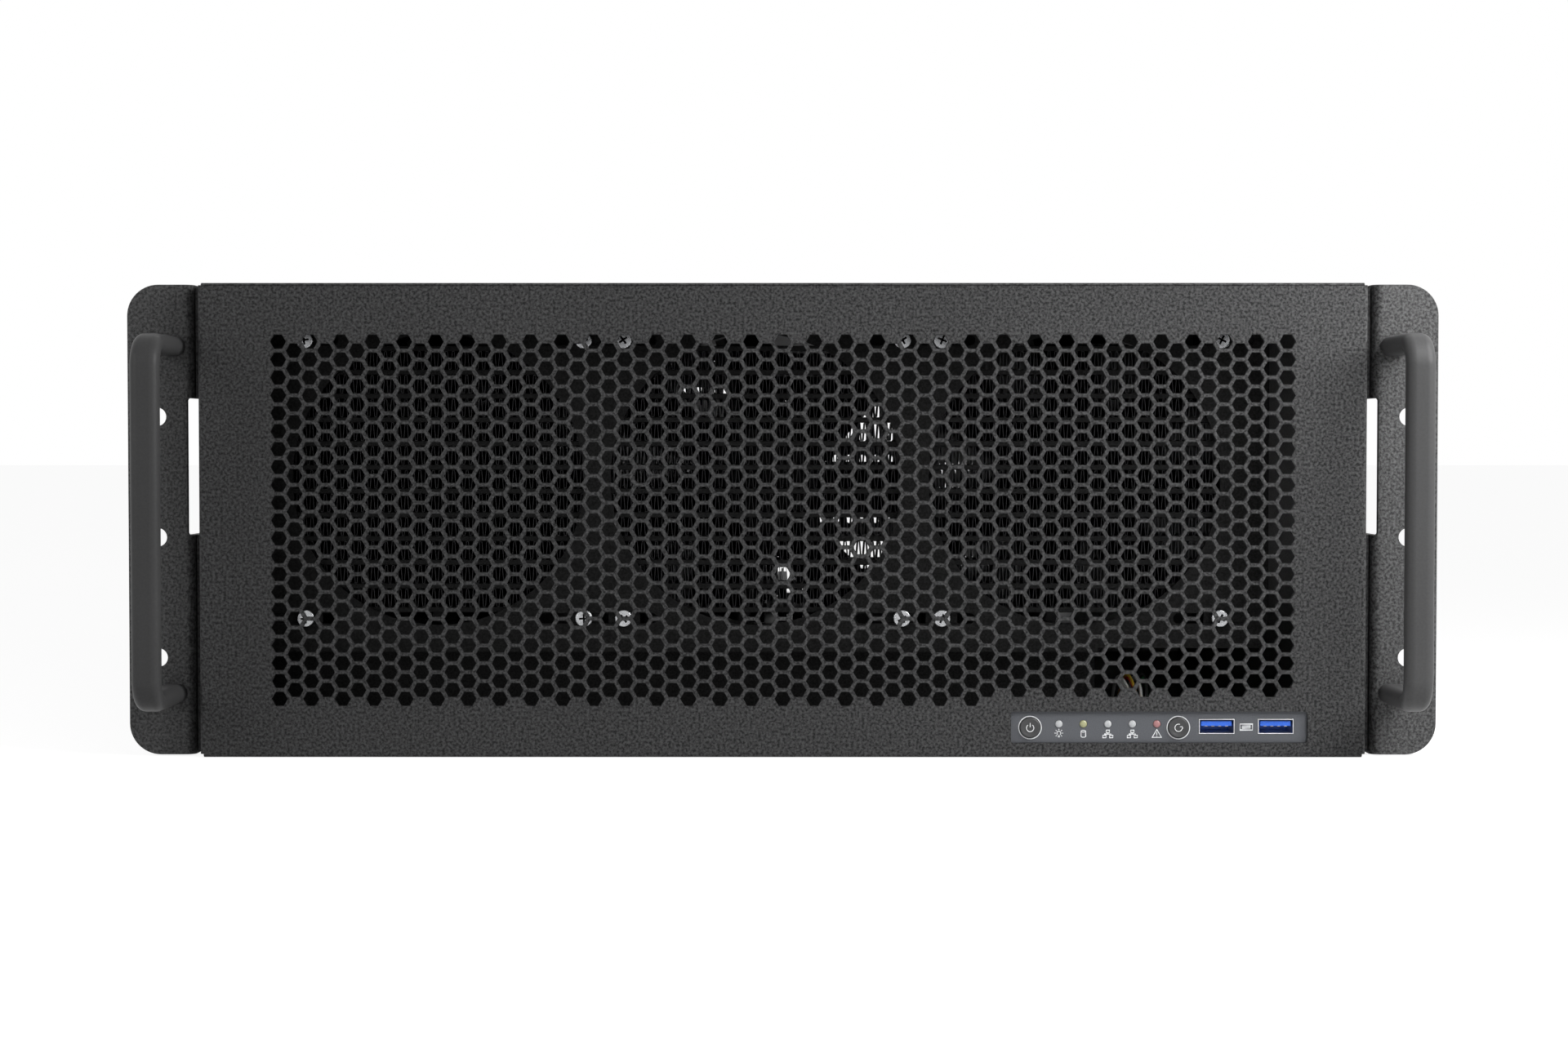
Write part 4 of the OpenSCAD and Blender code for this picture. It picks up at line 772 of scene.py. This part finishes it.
fins.data.transform(Matrix.Translation(((fin_low.x + fin_high.x)/2, (fin_low.y + fin_high.y)/2,
                                        tube_low.z + flat_tube + (tube_step - flat_tube)/2)))
thick = fins.modifiers.new("sheet", "SOLIDIFY")
thick.thickness = 0.12*mm
thick.offset = 0
baked(fins)
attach(fins, "chassis")
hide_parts("radiator_fins")


# ---- Fans ----
# Three 120 mm fans screwed behind the core: a moulded frame with four corner bosses, and a
# rotor of seven swept blades on a steel shaft, all in black glass-filled plastic.

fan_black = coated("fan_plastic", (0.014, 0.014, 0.015), grain=0.8, roughness=0.45, specular=0.5, bump=0.12)
blade_black = coated("blade_plastic", (0.02, 0.02, 0.021), grain=0.8, roughness=0.35, specular=0.5, bump=0.06)
for k in (1, 2, 3):
    finish_node(f"fan_frame_{k}", fan_black, edge=0.3)
    finish_node(f"fan_rotor_{k}", blade_black, edge=0)


# ---- Mainboard ----
# Black circuit board on nine spacers, with card sockets, memory sockets, a finned heat
# sink, a nickel cold plate over the processor, and metal sockets along the rear edge.

finish_node("mainboard", circuit("black_board", (0.01, 0.013, 0.013), (0.022, 0.03, 0.028)), edge=0.1)
socket_black = coated("socket_plastic", (0.018, 0.018, 0.019), grain=0.6, roughness=0.4, specular=0.5,
                      bump=0.05)
finish_node("board_sockets", socket_black, edge=0.3)
finish_node("memory_modules", metal("module_spreader", (0.12, 0.125, 0.13), 0.4, (1, 5, 1)), edge=0.3)
nickel = metal("nickel_plate", (0.55, 0.53, 0.5), 0.22, (5, 1, 1))
finish_node("cpu_block", nickel, edge=0.5)
finish_node("rear_ports", tin, edge=0.2)


# ---- Graphics cards ----
# Four cards stand side by side, each with a black board, a slotted steel bracket at the
# rear, and a full-length cold plate. The bracket is the part of the card behind bracket_from.

card_board = circuit("card_board", (0.008, 0.009, 0.01), (0.02, 0.022, 0.024))
block_black = coated("block_acetal", (0.016, 0.017, 0.019), grain=0.5, roughness=0.25, specular=0.6, bump=0.03)
bracket_steel = metal("bracket_steel", (0.5, 0.5, 0.51), 0.35, (1, 1, 5))
bracket_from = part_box("rear_panel")[1].y - 5*mm
for k in (1, 2, 3, 4):
    card = finish_node(f"gpu_card_{k}", card_board, edge=0.1)
    card.data.materials.append(bracket_steel)
    for side in card.data.polygons:
        side.material_index = int(side.center.y > bracket_from)
    finish_node(f"gpu_block_{k}", block_black, edge=0.5)


# ---- Coolant loop ----
# A pump block with a tinted tube reservoir, a feed bar for the four cards, and rubber hoses
# pushed over barbed fittings and held by them.

finish_node("coolant_manifold", acetal, edge=0.5)
finish_node("pump", acetal, edge=0.5)
rubber = coated("hose_rubber", (0.013, 0.013, 0.014), grain=1.2, roughness=0.55, specular=0.4, bump=0.15)
finish_node("hoses", rubber, edge=0)
coolant = coated("coolant_tube", (0.10, 0.16, 0.19), grain=4.0, roughness=0.08, specular=0.9, bump=0.01,
                 contrast=0.04)
finish_node("reservoir", coolant, edge=0.4)


# ---- Power supplies ----
# Four modules in a steel cage at the rear right, each pulled by a folded handle after its
# coloured lever is pressed aside.

galvanised = metal("galvanised_sheet", (0.38, 0.385, 0.39), 0.42, (1, 1, 1), 0.2)
finish_node("psu_cage", galvanised, edge=0.1)
module_case = metal("module_case", (0.42, 0.42, 0.425), 0.38, (1, 4, 1), 0.12)
lever_green = coated("lever_plastic", (0.02, 0.22, 0.08), grain=0.6, roughness=0.4, specular=0.5, bump=0.05)
for k in (1, 2, 3, 4):
    finish_node(f"psu_{k}", module_case, edge=0.2)
    finish_node(f"psu_latch_{k}", lever_green, edge=0.2)


# ---- Cover ----
# The lift-off top, one flat sheet with its front edge over the brace, held by six screws.

finish_node("top_cover", chassis_black, edge=0.2)
